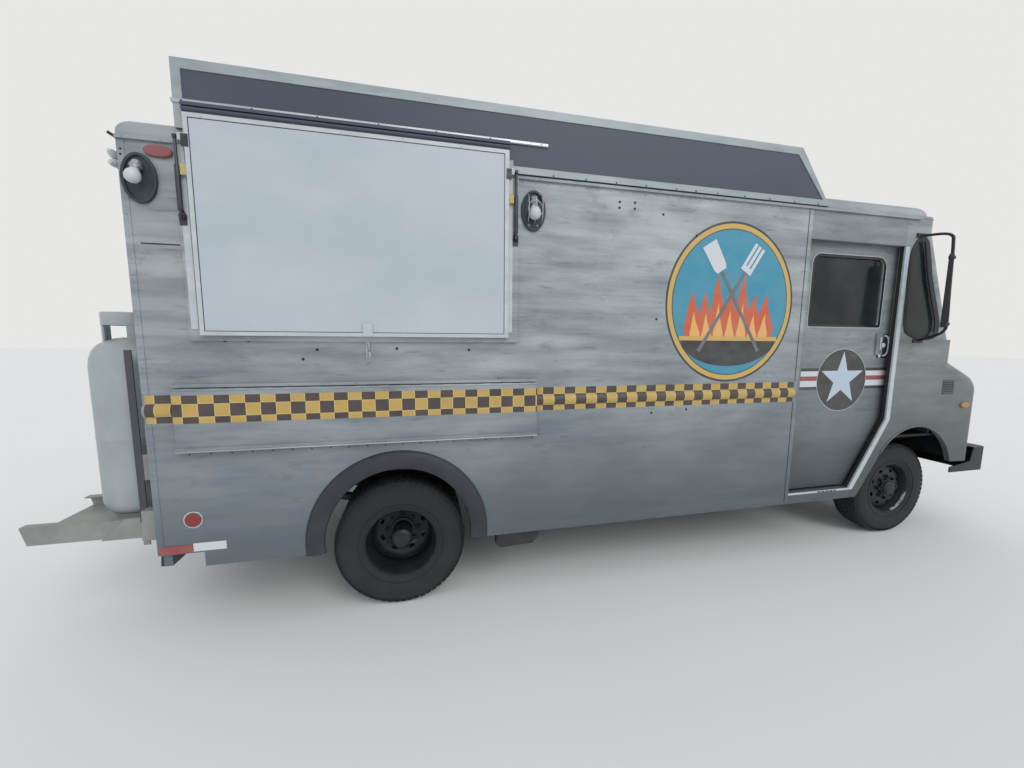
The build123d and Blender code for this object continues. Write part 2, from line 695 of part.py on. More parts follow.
for name, piece in wheel_pieces.items():
    nodes[name + "_left"] = piece
    nodes[name + "_right"] = mirrored(piece)

# Rear doors with hinge pins and bar locks
rear_leaf = block(*rear_door_x, 3, rear_opening_half - 6, *rear_door_z)
rear_leaf += upright(rear_hinge_x, rear_opening_half, 860, 2150, 7)
for low in (880, 2040):
    rear_leaf += block(
        rear_hinge_x - 4, rear_door_x[0] + 2, rear_opening_half - 46, rear_opening_half, low, low + 80
    )
rear_leaf += block(rear_door_x[0] - 14, rear_door_x[0], 40, 62, 820, 2180)
nodes["rear_door_left"] = rear_leaf
nodes["rear_door_right"] = mirrored(rear_leaf)


# Rack on the kerb side: two channels cut aslant, a deck, a gusset, an upright and a strap to the body
def rack_channel(web_y, inward, front_x):
    """A channel with its web at web_y and flanges towards the rack's middle."""
    low, high = rack_z
    outline = [(-half_length, high), (front_x, high), (front_x, low), (24 - half_length, low)]
    ends = sorted((web_y, web_y + inward * 42))
    hollow = sorted((web_y + inward * 6, web_y + inward * 60))
    return prism_xz(outline, *ends) - block(-half_length - 9, front_x + 9, *hollow, low + 7, high - 7)


rack = rack_channel(rack_y[0], 1, rack_front_x) + rack_channel(rack_y[1], -1, -2731)
rack += block(-3345, -2775, rack_y[0] + 6, rack_y[1] - 6, rack_deck_z - 8, rack_deck_z)
gusset = [(-3032, 552), (rack_front_x, 552), (rack_front_x, 662), (-2925, 662)]
rack += prism_xz(gusset, rack_y[0] - 6, rack_y[0])
rack += block(rack_front_x, rack_front_x + 5, rack_y[0] - 6, rack_y[0] + 45, 510, 1550)
rack += block(rack_front_x, rack_front_x + 32, rack_y[0] - 6, rack_y[0] - 1, 510, 1550)
rack += block(rack_front_x + 30, -2731, rack_y[0] - 6, rack_y[0], 867, 1006)
rack += block(rack_front_x + 30, -2731, rack_y[0] - 60, rack_y[0] - 1, 558, 719)
nodes["rear_rack"] = rack

# Gas cylinder with its foot ring, collar and valve
gas_body = [
    (0, 40), (150, 45), (gas_radius, 80), (gas_radius, 880), (172, 942), (140, 985), (90, 1008), (0, 1015),
]
foot_ring = [(132, 0), (140, 0), (146, 50), (132, 46)]
collar = standing([(112, 990), (122, 990), (122, 1148), (112, 1148)], 12)
collar -= Pos(-120, 0, 1090) * Box(120, 110, 46)
gas = standing(gas_body, 16) + standing(foot_ring, 12) + collar
gas += standing([(0, 1000), (22, 1000), (22, 1090), (0, 1090)], 6)
nodes["gas_cylinder"] = Pos(gas_x, gas_y, rack_deck_z) * gas

# Rear step: a channel with the hitch's four bolt holes
step_web = 10
rear_step = block(*rear_step_x, *rear_step_y, *rear_step_z)
rear_step -= block(
    rear_step_x[0] + step_web, rear_step_x[1] - step_web, *rear_step_y, rear_step_z[0] - 1,
    rear_step_z[1] - step_web,
)
hitch_z = (rear_step_z[0] + rear_step_z[1] - step_web) / 2
for y in (-hitch_spacing[0] / 2, hitch_spacing[0] / 2):
    for z in (hitch_z - hitch_spacing[1] / 2, hitch_z + hitch_spacing[1] / 2):
        rear_step -= along(rear_step_x[0] - 5, rear_step_x[0] + step_web + 5, y, z, hitch_bolt_radius)
nodes["rear_step"] = rear_step

os.makedirs("parts", exist_ok=True)
for name, shape in nodes.items():
    solids = shape.solids()
    if not solids:
        raise SystemExit(name + " is empty")
    export_step(shape if len(solids) > 1 else solids[0], "parts/" + name + ".step")
    size = shape.bounding_box()
    print(name, len(solids), [round(v) for v in (*size.min, *size.max)], round(shape.volume / 1e6, 2))
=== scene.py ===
import math
from functools import partial

import bmesh
import bpy
from mathutils import Matrix, Vector


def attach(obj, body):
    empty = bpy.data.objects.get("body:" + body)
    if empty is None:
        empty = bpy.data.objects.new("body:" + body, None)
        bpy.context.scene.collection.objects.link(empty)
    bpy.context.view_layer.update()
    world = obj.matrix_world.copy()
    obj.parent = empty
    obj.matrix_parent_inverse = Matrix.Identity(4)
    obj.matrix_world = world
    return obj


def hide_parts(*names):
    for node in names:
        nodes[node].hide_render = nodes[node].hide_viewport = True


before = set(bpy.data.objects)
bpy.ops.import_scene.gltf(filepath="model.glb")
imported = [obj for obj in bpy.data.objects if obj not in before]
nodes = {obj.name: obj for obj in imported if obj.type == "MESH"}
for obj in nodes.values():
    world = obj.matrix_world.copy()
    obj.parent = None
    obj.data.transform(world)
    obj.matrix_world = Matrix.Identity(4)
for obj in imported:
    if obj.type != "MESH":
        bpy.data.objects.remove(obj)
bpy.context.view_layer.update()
scene = bpy.context.scene
scene.view_settings.view_transform = "Standard"
print("frame loaded with", len(nodes), "nodes")


# camera at the photo's place, floor and light
cameraSettings = {
    "place": (-1.375, -3.450, 1.620),
    "yaw": 12.998,  # degrees from +Y towards +X
    "pitch": -6.567,
    "roll": 0.423,
    "lens": 13.70,
}


def makeCamera(settings):
    yaw, pitch, roll = (math.radians(settings[key]) for key in ("yaw", "pitch", "roll"))
    forward = Vector((math.sin(yaw) * math.cos(pitch), math.cos(yaw) * math.cos(pitch), math.sin(pitch)))
    flatRight = Vector((math.cos(yaw), -math.sin(yaw), 0))
    flatUp = flatRight.cross(forward)
    right = math.cos(roll) * flatRight + math.sin(roll) * flatUp
    up = math.cos(roll) * flatUp - math.sin(roll) * flatRight
    data = bpy.data.cameras.new("photoCamera")
    data.lens = settings["lens"]
    data.sensor_width = 36
    data.clip_end = 200
    camera = bpy.data.objects.new("photoCamera", data)
    scene.collection.objects.link(camera)
    turn = Matrix((right, up, -forward)).transposed().to_4x4()
    camera.matrix_world = Matrix.Translation(settings["place"]) @ turn
    scene.camera = camera


makeCamera(cameraSettings)


# node helpers
def feed(tree, node, inputs):
    # joins sockets to a node's inputs and sets the plain values
    for key, value in inputs.items():
        if isinstance(value, bpy.types.NodeSocket):
            tree.links.new(value, node.inputs[key])
        else:
            node.inputs[key].default_value = value


def addNode(tree, kind, inputs=None, **settings):
    node = tree.nodes.new(kind)
    for key, value in settings.items():
        setattr(node, key, value)
    feed(tree, node, inputs or {})
    return node


def calc(tree, a, b=0.0, c=0.0, clamp=False, operation="ADD"):
    return addNode(tree, "ShaderNodeMath", {0: a, 1: b, 2: c}, operation=operation, use_clamp=clamp).outputs[0]


plus, minus, times, over, timesPlus, above, below, greatest, least, sizeOf, zigzag = (
    partial(calc, operation=name) for name in (
        "ADD", "SUBTRACT", "MULTIPLY", "DIVIDE", "MULTIPLY_ADD", "GREATER_THAN", "LESS_THAN", "MAXIMUM", "MINIMUM",
        "ABSOLUTE", "PINGPONG"))


def between(tree, value, low, high):
    return times(tree, above(tree, value, low), below(tree, value, high))


def blendColour(tree, share, a, b):
    return addNode(tree, "ShaderNodeMix", {0: share, 6: a, 7: b}, data_type="RGBA").outputs[2]


def remap(tree, value, low, high, toLow=0.0, toHigh=1.0):
    inputs = {"Value": value, "From Min": low, "From Max": high, "To Min": toLow, "To Max": toHigh}
    return addNode(tree, "ShaderNodeMapRange", inputs).outputs[0]


def speckle(tree, stretch, detail=4.0, rough=0.55, shift=(0, 0, 0)):
    coords = addNode(tree, "ShaderNodeTexCoord").outputs["Object"]
    placed = addNode(tree, "ShaderNodeMapping", {"Vector": coords, "Scale": stretch, "Location": shift})
    inputs = {"Vector": placed.outputs[0], "Scale": 1.0, "Detail": detail, "Roughness": rough}
    return addNode(tree, "ShaderNodeTexNoise", inputs).outputs["Fac"]


def axesOf(tree):
    coords = addNode(tree, "ShaderNodeTexCoord").outputs["Object"]
    return addNode(tree, "ShaderNodeSeparateXYZ", {0: coords}).outputs


def colour(*channels):
    # 0-255 as seen on screen, turned into the linear values that Blender stores
    shares = [channel / 255 for channel in channels]
    return (*[c / 12.92 if c <= 0.04045 else ((c + 0.055) / 1.055) ** 2.4 for c in shares], 1.0)


def makeGroup(name, inputs, outputs, kind="ShaderNodeTree"):
    group = bpy.data.node_groups.new(name, kind)
    for label, socketKind, value in inputs:
        socket = group.interface.new_socket(label, in_out="INPUT", socket_type="NodeSocket" + socketKind)
        if value is not None:
            socket.default_value = value
    for label, socketKind in outputs:
        group.interface.new_socket(label, in_out="OUTPUT", socket_type="NodeSocket" + socketKind)
    start = group.nodes.new("NodeGroupInput")
    end = group.nodes.new("NodeGroupOutput")
    return group, start.outputs, end.inputs


def useGroup(tree, group, **values):
    # a keyword fills the input of the same words: each capital letter starts a new word, and the first word is
    # capitalised
    node = addNode(tree, "ShaderNodeGroup", node_tree=group)
    feed(tree, node, {"".join(" " + c.lower() if c.isupper() else c for c in key).capitalize(): value
                      for key, value in values.items()})
    return node.outputs


# shared shader groups
def makeSmears():
    # brushed-on paint: long level smears, cloudy blotches, short dark dashes, grime low down, and painted shade that
    # darkens the lower wall, more towards the front
    tree, given, out = makeGroup("brushedSmears", [
        ("Light", "Color", (0.5, 0.5, 0.5, 1)), ("Dark", "Color", (0.3, 0.3, 0.3, 1)),
        ("Grime", "Color", (0.1, 0.1, 0.1, 1)), ("Low", "Color", (0.3, 0.3, 0.35, 1)),
        ("Contrast", "Float", 1.0), ("Grime amount", "Float", 0.5),
    ], [("Color", "Color"), ("Roughness", "Float"), ("Height", "Float")])
    smear = speckle(tree, (1.0, 1.0, 12.0), 5.0, 0.58)
    cloud = speckle(tree, (1.5, 1.5, 3.0), 4.0, 0.5, (3, 1, 7))
    brush = speckle(tree, (3.4, 3.4, 52.0), 4.0, 0.62, (1, 4, 2))
    patch = speckle(tree, (3.6, 3.6, 17.0), 3.0, 0.5, (8, 2, 5))
    mixed = plus(tree, times(tree, smear, 0.36), times(tree, cloud, 0.32))
    mixed = plus(tree, mixed, times(tree, brush, 0.10))
    mixed = plus(tree, mixed, times(tree, patch, 0.22))
    centred = times(tree, minus(tree, mixed, 0.5), given["Contrast"])
    share = plus(tree, times(tree, centred, 4.8), 0.5, clamp=True)
    paint = blendColour(tree, share, given["Dark"], given["Light"])
    height = axesOf(tree)[2]
    # painted shade: the Low colour darkens the paint towards the bottom
    lowShade = remap(tree, plus(tree, height, times(tree, cloud, 0.7)), 2.1, 0.8)
    paint = blendColour(tree, times(tree, lowShade, 0.8), paint, given["Low"])
    dashes = remap(tree, speckle(tree, (5, 5, 34), 4.0, 0.6, (9, 9, 9)), 0.60, 0.72)
    stains = remap(tree, speckle(tree, (4, 4, 9), 5.0, 0.7, (2, 7, 4)), 0.60, 0.80)
    # splash grime low down, which also carries painted shade: it reaches higher towards the front, so the lower wall
    # darkens forward
    forward = remap(tree, axesOf(tree)[0], -2.0, -0.2, -0.10, 0.20)
    level = minus(tree, minus(tree, height, forward), times(tree, smear, 0.6))
    splashAndShade = remap(tree, level, 0.72, 0.06)
    dirtAndShade = greatest(tree, greatest(tree, times(tree, dashes, 0.7), stains), splashAndShade)
    dirtAndShade = times(tree, dirtAndShade, given["Grime amount"], clamp=True)
    tree.links.new(blendColour(tree, dirtAndShade, paint, given["Grime"]), out["Color"])
    shine = plus(tree, times(tree, share, -0.16), 0.56)
    tree.links.new(plus(tree, shine, times(tree, dirtAndShade, 0.25)), out["Roughness"])
    bumps = plus(tree, times(tree, brush, 0.3), times(tree, cloud, 0.7))
    tree.links.new(bumps, out["Height"])
    return tree


def makeEdgeWear():
    # bright where a rounded-off normal leaves the true one, broken up by noise
    tree, given, out = makeGroup("edgeWear", [
        ("Reach", "Float", 0.004), ("Amount", "Float", 0.6),
    ], [("Mask", "Float")])
    rounded = addNode(tree, "ShaderNodeBevel", {"Radius": given["Reach"]}, samples=6).outputs[0]
    plain = addNode(tree, "ShaderNodeNewGeometry").outputs["Normal"]
    dot = addNode(tree, "ShaderNodeVectorMath", {0: rounded, 1: plain}, operation="DOT_PRODUCT")
    edge = remap(tree, dot.outputs["Value"], 0.995, 0.85)
    broken = remap(tree, speckle(tree, (30, 30, 30), 4.0), 0.38, 0.62)
    mask = times(tree, times(tree, edge, broken), given["Amount"], clamp=True)
    tree.links.new(mask, out["Mask"])
    return tree


def makeDust():
    # road dust: more on faces that look up and towards the ground, in soft clouds
    tree, given, out = makeGroup("roadDust", [
        ("Ceiling", "Float", 1.0), ("Amount", "Float", 0.5),
    ], [("Mask", "Float")])
    facing = addNode(tree, "ShaderNodeSeparateXYZ", {0: addNode(tree, "ShaderNodeNewGeometry").outputs["Normal"]})
    up = remap(tree, facing.outputs[2], 0.3, 1.0, 0.0, 0.7)
    height = axesOf(tree)[2]
    near = over(tree, minus(tree, given["Ceiling"], height), given["Ceiling"], clamp=True)
    cloud = remap(tree, speckle(tree, (6, 6, 6), 5.0, 0.65), 0.3, 0.7)
    both = times(tree, greatest(tree, up, near), cloud)
    tree.links.new(times(tree, both, given["Amount"], clamp=True), out["Mask"])
    return tree


checkerSettings = {
    "pair": 0.1414,  # one yellow and one brown square
    "rows": (1.185, 1.219, 1.285, 1.328),
    "ends": (-2.720, 1.240),
    "phases": (-2.680, -2.5495, -0.6555),  # left edge of a yellow square: rear end, shelf, front
    "bounds": (-2.597, -0.694),
    "skin": 1.176,  # the band is painted only outside this Y
    "rim": (0.055, 0.0035),  # share of a square, width at the rows' edges
}


def makeChecker(settings):
    # three rows of squares read from X and Z, each yellow square with a paler rim
    tree, given, out = makeGroup("checkerBand", [
        ("Yellow", "Color", colour(184, 152, 78)), ("Brown", "Color", colour(68, 60, 58)),
        ("Rim", "Color", colour(212, 188, 124)),
    ], [("Color", "Color"), ("Mask", "Float")])
    x, y, z = axesOf(tree)
    rear, shelf, front = settings["phases"]
    pastRear = above(tree, x, settings["bounds"][0])
    pastShelf = above(tree, x, settings["bounds"][1])
    phase = plus(tree, times(tree, pastRear, shelf - rear), rear)
    phase = plus(tree, times(tree, pastShelf, front - shelf), phase)
    along = over(tree, minus(tree, x, phase), settings["pair"] / 2)
    z0, z1, z2, z3 = settings["rows"]
    middle = between(tree, z, z1, z2)
    step = plus(tree, calc(tree, along, operation="FLOOR"), minus(tree, 1.0, middle))
    odd = zigzag(tree, step, 1.0)
    inSquare = zigzag(tree, along, 0.5)
    rowEdge = least(tree, *(sizeOf(tree, minus(tree, z, edge)) for edge in (z1, z2)))
    rim = greatest(tree, below(tree, inSquare, settings["rim"][0]), below(tree, rowEdge, settings["rim"][1]))
    faded = remap(tree, speckle(tree, (9, 9, 14), 4.0), 0.3, 0.75, 0.0, 0.3)
    yellow = blendColour(tree, faded, given["Yellow"], given["Rim"])
    yellow = blendColour(tree, times(tree, rim, 0.8), yellow, given["Rim"])
    brown = blendColour(tree, faded, given["Brown"], colour(110, 100, 92))
    tree.links.new(blendColour(tree, odd, yellow, brown), out["Color"])
    inX, inZ = between(tree, x, *settings["ends"]), between(tree, z, z0, z3)
    outside = above(tree, sizeOf(tree, y), settings["skin"])
    tree.links.new(times(tree, times(tree, inX, inZ), outside), out["Mask"])
    return tree


smears, edgeWear, roadDust, checkerBand = makeSmears(), makeEdgeWear(), makeDust(), makeChecker(checkerSettings)


# materials
def startMaterial(name, **inputs):
    material = bpy.data.materials.new(name)
    material.use_nodes = True
    tree = material.node_tree
    tree.nodes.clear()
    shader = addNode(tree, "ShaderNodeBsdfPrincipled", inputs)
    addNode(tree, "ShaderNodeOutputMaterial", {0: shader.outputs[0]})
    return material, tree, shader


def finishBump(tree, shader, height, strength, distance, rounding=0.0):
    bump = addNode(tree, "ShaderNodeBump", {"Height": height, "Strength": strength, "Distance": distance})
    if rounding:
        tree.links.new(addNode(tree, "ShaderNodeBevel", {"Radius": rounding}, samples=4).outputs[0],
                       bump.inputs["Normal"])
    tree.links.new(bump.outputs[0], shader.inputs["Normal"])


silverPaint = {
    "light": colour(172, 179, 182),
    "dark": colour(126, 135, 140),
    # low: painted shade on the lower wall
    "low": colour(105, 114, 123),
    # grime: the colour of dirt, and of painted shade on the lower wall and ahead of the box's front corner
    "grime": colour(76, 83, 88),
}


noseHollow = {
    "hoodFoot": (2.744, 1.485),  # X and Z where the hood's slope starts
    "slope": -0.453,
    "top": 1.60,
    "front": 3.146,
    "side": 1.1465,
}


def insideNose(tree, hollow):
    # 1 on the faces inside the hollow nose, which are painted near-black
    x, y, z = axesOf(tree)
    startX, startZ = hollow["hoodFoot"]
    roofLine = least(tree, timesPlus(tree, minus(tree, x, startX), hollow["slope"], startZ), hollow["top"])
    within = times(tree, below(tree, z, roofLine), below(tree, x, hollow["front"]))
    return times(tree, within, below(tree, sizeOf(tree, y), hollow["side"]))


def silverMaterial(name, banded=False, hollow=False, shift=(1.0, 1.0, 1.0), contrast=1.0, grimeAmount=0.55):
    material, tree, shader = startMaterial(name)
    # shift scales this copy of the paint; on the door and nose it darkens it as painted shade
    tint = {key: tuple(min(1, c * s) for c, s in zip(value, shift)) + (1,) for key, value in silverPaint.items()}
    paint = useGroup(tree, smears, contrast=contrast, grimeAmount=grimeAmount, **tint)
    base = paint["Color"]
    metal = 0.30
    if banded:
        band = useGroup(tree, checkerBand)
        # painted shade: the banded walls darken ahead of the box's front corner, over the cab
        ahead = above(tree, axesOf(tree)[0], 1.276)
        base = blendColour(tree, times(tree, ahead, 0.36), base, silverPaint["grime"])
        base = blendColour(tree, band["Mask"], base, band["Color"])
        metal = timesPlus(tree, band["Mask"], -0.30, 0.30)
    wear = useGroup(tree, edgeWear, reach=0.003, amount=0.35)["Mask"]
    base = blendColour(tree, wear, base, colour(205, 208, 208))
    if hollow:
        base = blendColour(tree, insideNose(tree, noseHollow), base, colour(34, 36, 38))
    feed(tree, shader, {"Base Color": base, "Metallic": metal, "Roughness": paint["Roughness"]})
    finishBump(tree, shader, paint["Height"], 0.35, 0.004, 0.003)
    return material


def paintMaterial(name, base, dark, metallic=0.0, roughness=0.4, wearColour=None, wear=0.3, dust=0.2,
                  dustColour=(0.23, 0.21, 0.18), ceiling=1.2, grain=(12, 12, 12), bump=0.12, rounding=0.002):
    # a coat with cloudy tone, dust in its hollows and edges rubbed bright
    material, tree, shader = startMaterial(name, Metallic=metallic)
    cloud = speckle(tree, grain, 5.0, 0.6)
    tone = blendColour(tree, remap(tree, cloud, 0.3, 0.7), colour(*dark), colour(*base))
    dusty = useGroup(tree, roadDust, ceiling=ceiling, amount=dust)["Mask"]
    tone = blendColour(tree, dusty, tone, (*dustColour, 1))
    if wearColour:
        rubbed = useGroup(tree, edgeWear, reach=0.003, amount=wear)["Mask"]
        tone = blendColour(tree, rubbed, tone, colour(*wearColour))
    tree.links.new(tone, shader.inputs["Base Color"])
    rough = plus(tree, times(tree, cloud, 0.2), timesPlus(tree, dusty, 0.3, roughness - 0.1))
    tree.links.new(rough, shader.inputs["Roughness"])
    finishBump(tree, shader, speckle(tree, tuple(40 * g / 12 for g in grain), 4.0), bump, 0.002, rounding)
    return material


def brushedMetal(name, base, dark, stretch=(3, 3, 160), roughness=0.3, metallic=0.9):
    # drawn trim: fine lines along its length with a few dull patches
    base, dark = colour(*base), colour(*dark)
    material, tree, shader = startMaterial(name, Metallic=metallic)
    lines = speckle(tree, stretch, 4.0, 0.6)
    dull = remap(tree, speckle(tree, (5, 5, 5), 4.0), 0.45, 0.75)
    tone = blendColour(tree, remap(tree, lines, 0.3, 0.7), dark, base)
    tone = blendColour(tree, times(tree, dull, 0.4), tone, dark)
    tree.links.new(tone, shader.inputs["Base Color"])
    tree.links.new(timesPlus(tree, dull, 0.25, roughness), shader.inputs["Roughness"])
    finishBump(tree, shader, lines, 0.1, 0.001, 0.0015)
    return material


def glassMaterial(name, tint, alpha, roughness=0.05, specular=0.5):
    # tinted pane with a faint film of dust in clouds
    material, tree, shader = startMaterial(name, Metallic=0.0, IOR=1.45)
    shader.inputs["Specular IOR Level"].default_value = specular
    film = remap(tree, speckle(tree, (3, 3, 3), 5.0), 0.35, 0.8)
    tone = blendColour(tree, times(tree, film, 0.12), colour(*tint), colour(150, 155, 155))
    tree.links.new(tone, shader.inputs["Base Color"])
    tree.links.new(timesPlus(tree, film, 0.08, roughness), shader.inputs["Roughness"])
    tree.links.new(timesPlus(tree, film, 0.08, alpha), shader.inputs["Alpha"])
    return material


silvers = {
    "": {},
    "Band": {"banded": True},
    # Door and Nose are darker copies of the same silver: painted shade, the cab end lying darker than the box
    "Door": {"shift": (0.84, 0.84, 0.82), "contrast": 0.95, "grimeAmount": 0.8},
    "Nose": {"hollow": True, "shift": (0.72, 0.71, 0.66), "contrast": 0.7},
    "Roof": {"shift": (1.02, 1.02, 1.02), "contrast": 0.6, "grimeAmount": 0.7},
}
paints = {  # the coat's two tones first
    "paleTrim": ((163, 174, 175), (140, 152, 154), {
        "metallic": 0.1, "dust": 0.12, "wearColour": (130, 138, 136), "grain": (6, 6, 20)}),
    "hatchTrim": ((196, 203, 205), (176, 185, 189), {
        "metallic": 0.1, "dust": 0.08, "wearColour": (140, 146, 148), "grain": (5, 5, 14)}),
    "slateBoard": ((72, 80, 95), (60, 68, 82), {
        "roughness": 0.5, "dust": 0.1, "wearColour": (120, 126, 134), "grain": (1.2, 1.2, 2.4), "bump": 0.05}),
    "bottleCoat": ((164, 172, 173), (144, 153, 156), {
        "roughness": 0.38, "dust": 0.25, "wearColour": (120, 112, 104), "wear": 0.4, "grain": (4, 4, 3)}),
    "blackCoat": ((38, 40, 43), (27, 28, 31), {
        "roughness": 0.5, "dust": 0.35, "wearColour": (84, 82, 80), "dustColour": (0.12, 0.11, 0.10)}),
    "castMetal": ((66, 63, 60), (44, 42, 41), {
        "metallic": 0.4, "roughness": 0.7, "dust": 0.4, "wearColour": (112, 84, 66), "wear": 0.4,
        "dustColour": (0.13, 0.11, 0.09), "grain": (30, 30, 30), "bump": 0.5}),
    "tyreRubber": ((38, 41, 45), (27, 29, 33), {
        "roughness": 0.82, "dust": 0.45, "dustColour": (0.055, 0.055, 0.055), "ceiling": 0.9, "grain": (9, 9, 9),
        "bump": 0.25, "rounding": 0.0}),
    "sealRubber": ((40, 42, 44), (28, 29, 31), {
        "roughness": 0.6, "dust": 0.15, "ceiling": 0.8, "dustColour": (0.12, 0.12, 0.12)}),
    "flareRubber": ((44, 50, 58), (34, 39, 46), {
        "roughness": 0.55, "dust": 0.3, "dustColour": (0.10, 0.10, 0.10), "wearColour": (84, 88, 92)}),
    "bumperCoat": ((34, 37, 40), (24, 26, 29), {
        "roughness": 0.45, "dustColour": (0.07, 0.07, 0.068), "wearColour": (110, 112, 114), "wear": 0.25}),
    # the chrome latch painted pale: a painted highlight
    "latchPaintedHighlight": ((212, 218, 220), (182, 190, 194), {"metallic": 0.3, "roughness": 0.3, "dust": 0.0}),
    "paneEdge": ((30, 36, 38), (24, 29, 31), {"roughness": 0.2, "dust": 0.0}),
    "lampBase": ((56, 63, 70), (42, 48, 54), {"roughness": 0.5}),
    "strutSteel": ((74, 80, 86), (58, 63, 68), {"metallic": 0.5, "roughness": 0.35, "dust": 0.1}),
    "louvrePaint": ((92, 100, 104), (72, 79, 83), {"metallic": 0.2, "roughness": 0.5}),
    "interiorTrim": ((62, 64, 68), (48, 50, 54), {"roughness": 0.65, "grain": (20, 20, 20), "bump": 0.3}),
    # painted shade for a gap line, the louvre's open back and the sill's slots
    "paintedShadeDark": ((58, 60, 62), (44, 46, 48), {"roughness": 0.7, "dust": 0.1}),
    "tanBlock": ((200, 182, 122), (172, 152, 94), {"roughness": 0.7, "dust": 0.1, "grain": (20, 20, 120), "bump": 0.3}),
    "rackCoat": ((148, 150, 146), (122, 125, 121), {
        "roughness": 0.45, "dust": 0.35, "wearColour": (112, 86, 66), "wear": 0.5, "grain": (7, 7, 7)}),
    "rimCoat": ((34, 37, 41), (23, 25, 28), {
        "metallic": 0.2, "roughness": 0.45, "dust": 0.25, "wearColour": (120, 124, 128), "wear": 0.18,
        "dustColour": (0.06, 0.058, 0.055), "rounding": 0.0}),
    "hatchPanelPaint": ((186, 195, 201), (173, 184, 191), {
        "roughness": 0.45, "dust": 0.06, "wearColour": (140, 145, 148), "grain": (1.4, 1.4, 2.2), "bump": 0.03}),
}
metals = {  # two tones, then stretch of the lines, roughness, metallic
    "trimMetal": ((214, 219, 222), (166, 172, 177)),
    "steelSheet": ((190, 194, 196), (150, 154, 157), (60, 60, 3), 0.35, 0.8),
    "chrome": ((232, 234, 236), (196, 199, 202), (20, 20, 20), 0.12, 1.0),
    "mirrorFace": ((176, 190, 188), (160, 175, 175), (2, 2, 2), 0.04, 1.0),
    "brassMetal": ((196, 166, 96), (150, 122, 66), (30, 30, 30)),
}
panes = {  # tint, alpha, roughness, specular
    "darkGlass": ((24, 31, 34), 0.90, 0.06, 0.3),
    "cabGlass": ((30, 46, 43), 0.72, 0.06, 0.35),
    "lensRed": ((134, 50, 47), 0.97, 0.25, 0.4),
    "lensAmber": ((176, 124, 66), 0.97, 0.25, 0.4),
    "lensClear": ((206, 212, 214), 0.85, 0.12),
    "bulbWhite": ((200, 205, 205), 0.97, 0.3),
    "fadedRed": ((142, 84, 86), 0.97, 0.35, 0.4),
}
finishes = {"silver" + name: silverMaterial("silverPaint" + name, **inputs) for name, inputs in silvers.items()}
finishes.update({name: paintMaterial(name, base, dark, **inputs) for name, (base, dark, inputs) in paints.items()})
finishes.update({name: brushedMetal(name, *inputs) for name, inputs in metals.items()})
finishes.update({name: glassMaterial(name, *inputs) for name, inputs in panes.items()})


def seatMaterial():
    # woven seat cloth: two crossed waves, with a soft worn middle
    material, tree, shader = startMaterial("seatCloth", Roughness=0.9)
    coords = addNode(tree, "ShaderNodeTexCoord").outputs["Object"]
    waves = []
    for direction in ("X", "Y"):
        inputs = {"Vector": coords, "Scale": 120.0, "Distortion": 0.4}
        waves.append(addNode(tree, "ShaderNodeTexWave", inputs, bands_direction=direction).outputs["Fac"])
    weave = times(tree, waves[0], waves[1])
    tone = blendColour(tree, weave, colour(52, 55, 60), colour(84, 88, 94))
    tree.links.new(tone, shader.inputs["Base Color"])
    finishBump(tree, shader, weave, 0.3, 0.001)
    return material


plateSettings = {
    "pitch": 0.03,
    "bar": (0.005, 0.018),  # half width, half length
    "wells": (1.0, 2.2),  # the step wells lie beyond this Y and X
}


def plateMaterial(settings):
    # tread plate: small raised bars in two slants
    material, tree, shader = startMaterial("treadPlate", Metallic=0.8)
    x, y, z = axesOf(tree)
    slants = []
    for sign in (1, -1):
        u = timesPlus(tree, y, sign, x)
        v = timesPlus(tree, y, -sign, x)
        across, within = (below(tree, zigzag(tree, way, settings["pitch"]), limit)
                          for way, limit in zip((u, v), settings["bar"]))
        slants.append(times(tree, across, within))
    bars = greatest(tree, *slants)
    dull = speckle(tree, (8, 8, 8), 5.0)
    tone = blendColour(tree, dull, colour(120, 124, 127), colour(168, 172, 175))
    tone = blendColour(tree, times(tree, bars, 0.5), tone, colour(205, 207, 208))
    feed(tree, shader, {"Base Color": tone, "Roughness": timesPlus(tree, dull, 0.3, 0.3)})
    finishBump(tree, shader, bars, 0.5, 0.002)
    return material


def partsOf(material):
    # a finished material's tree, its shader and the colour that feeds it
    tree = material.node_tree
    shader = next(node for node in tree.nodes if node.type == "BSDF_PRINCIPLED")
    return tree, shader, shader.inputs["Base Color"].links[0].from_socket


def floorMaterial(settings):
    # tread plate on the floor's top, near-black below it and on the wheel boxes' sides
    material = plateMaterial(settings)
    tree, shader, plate = partsOf(material)
    normal = addNode(tree, "ShaderNodeNewGeometry").outputs["Normal"]
    upward = addNode(tree, "ShaderNodeSeparateXYZ", {0: normal}).outputs[2]
    x, y, z = axesOf(tree)
    side, ahead = settings["wells"]
    outer = times(tree, above(tree, sizeOf(tree, y), side), above(tree, x, ahead))
    under = greatest(tree, below(tree, upward, 0.5), outer)
    grain = remap(tree, speckle(tree, (9, 9, 9), 4.0), 0.3, 0.7)
    seal = blendColour(tree, grain, colour(26, 27, 29), colour(40, 41, 43))
    feed(tree, shader, {"Base Color": blendColour(tree, under, plate, seal),
                        "Metallic": timesPlus(tree, under, -0.8, 0.8), "Specular IOR Level": 0.15})
    material.name = "floorPlate"
    return material


rackSettings = {
    "uprightEdge": (-2.850, -2.810),
    "uprightFoot": 0.660,
}


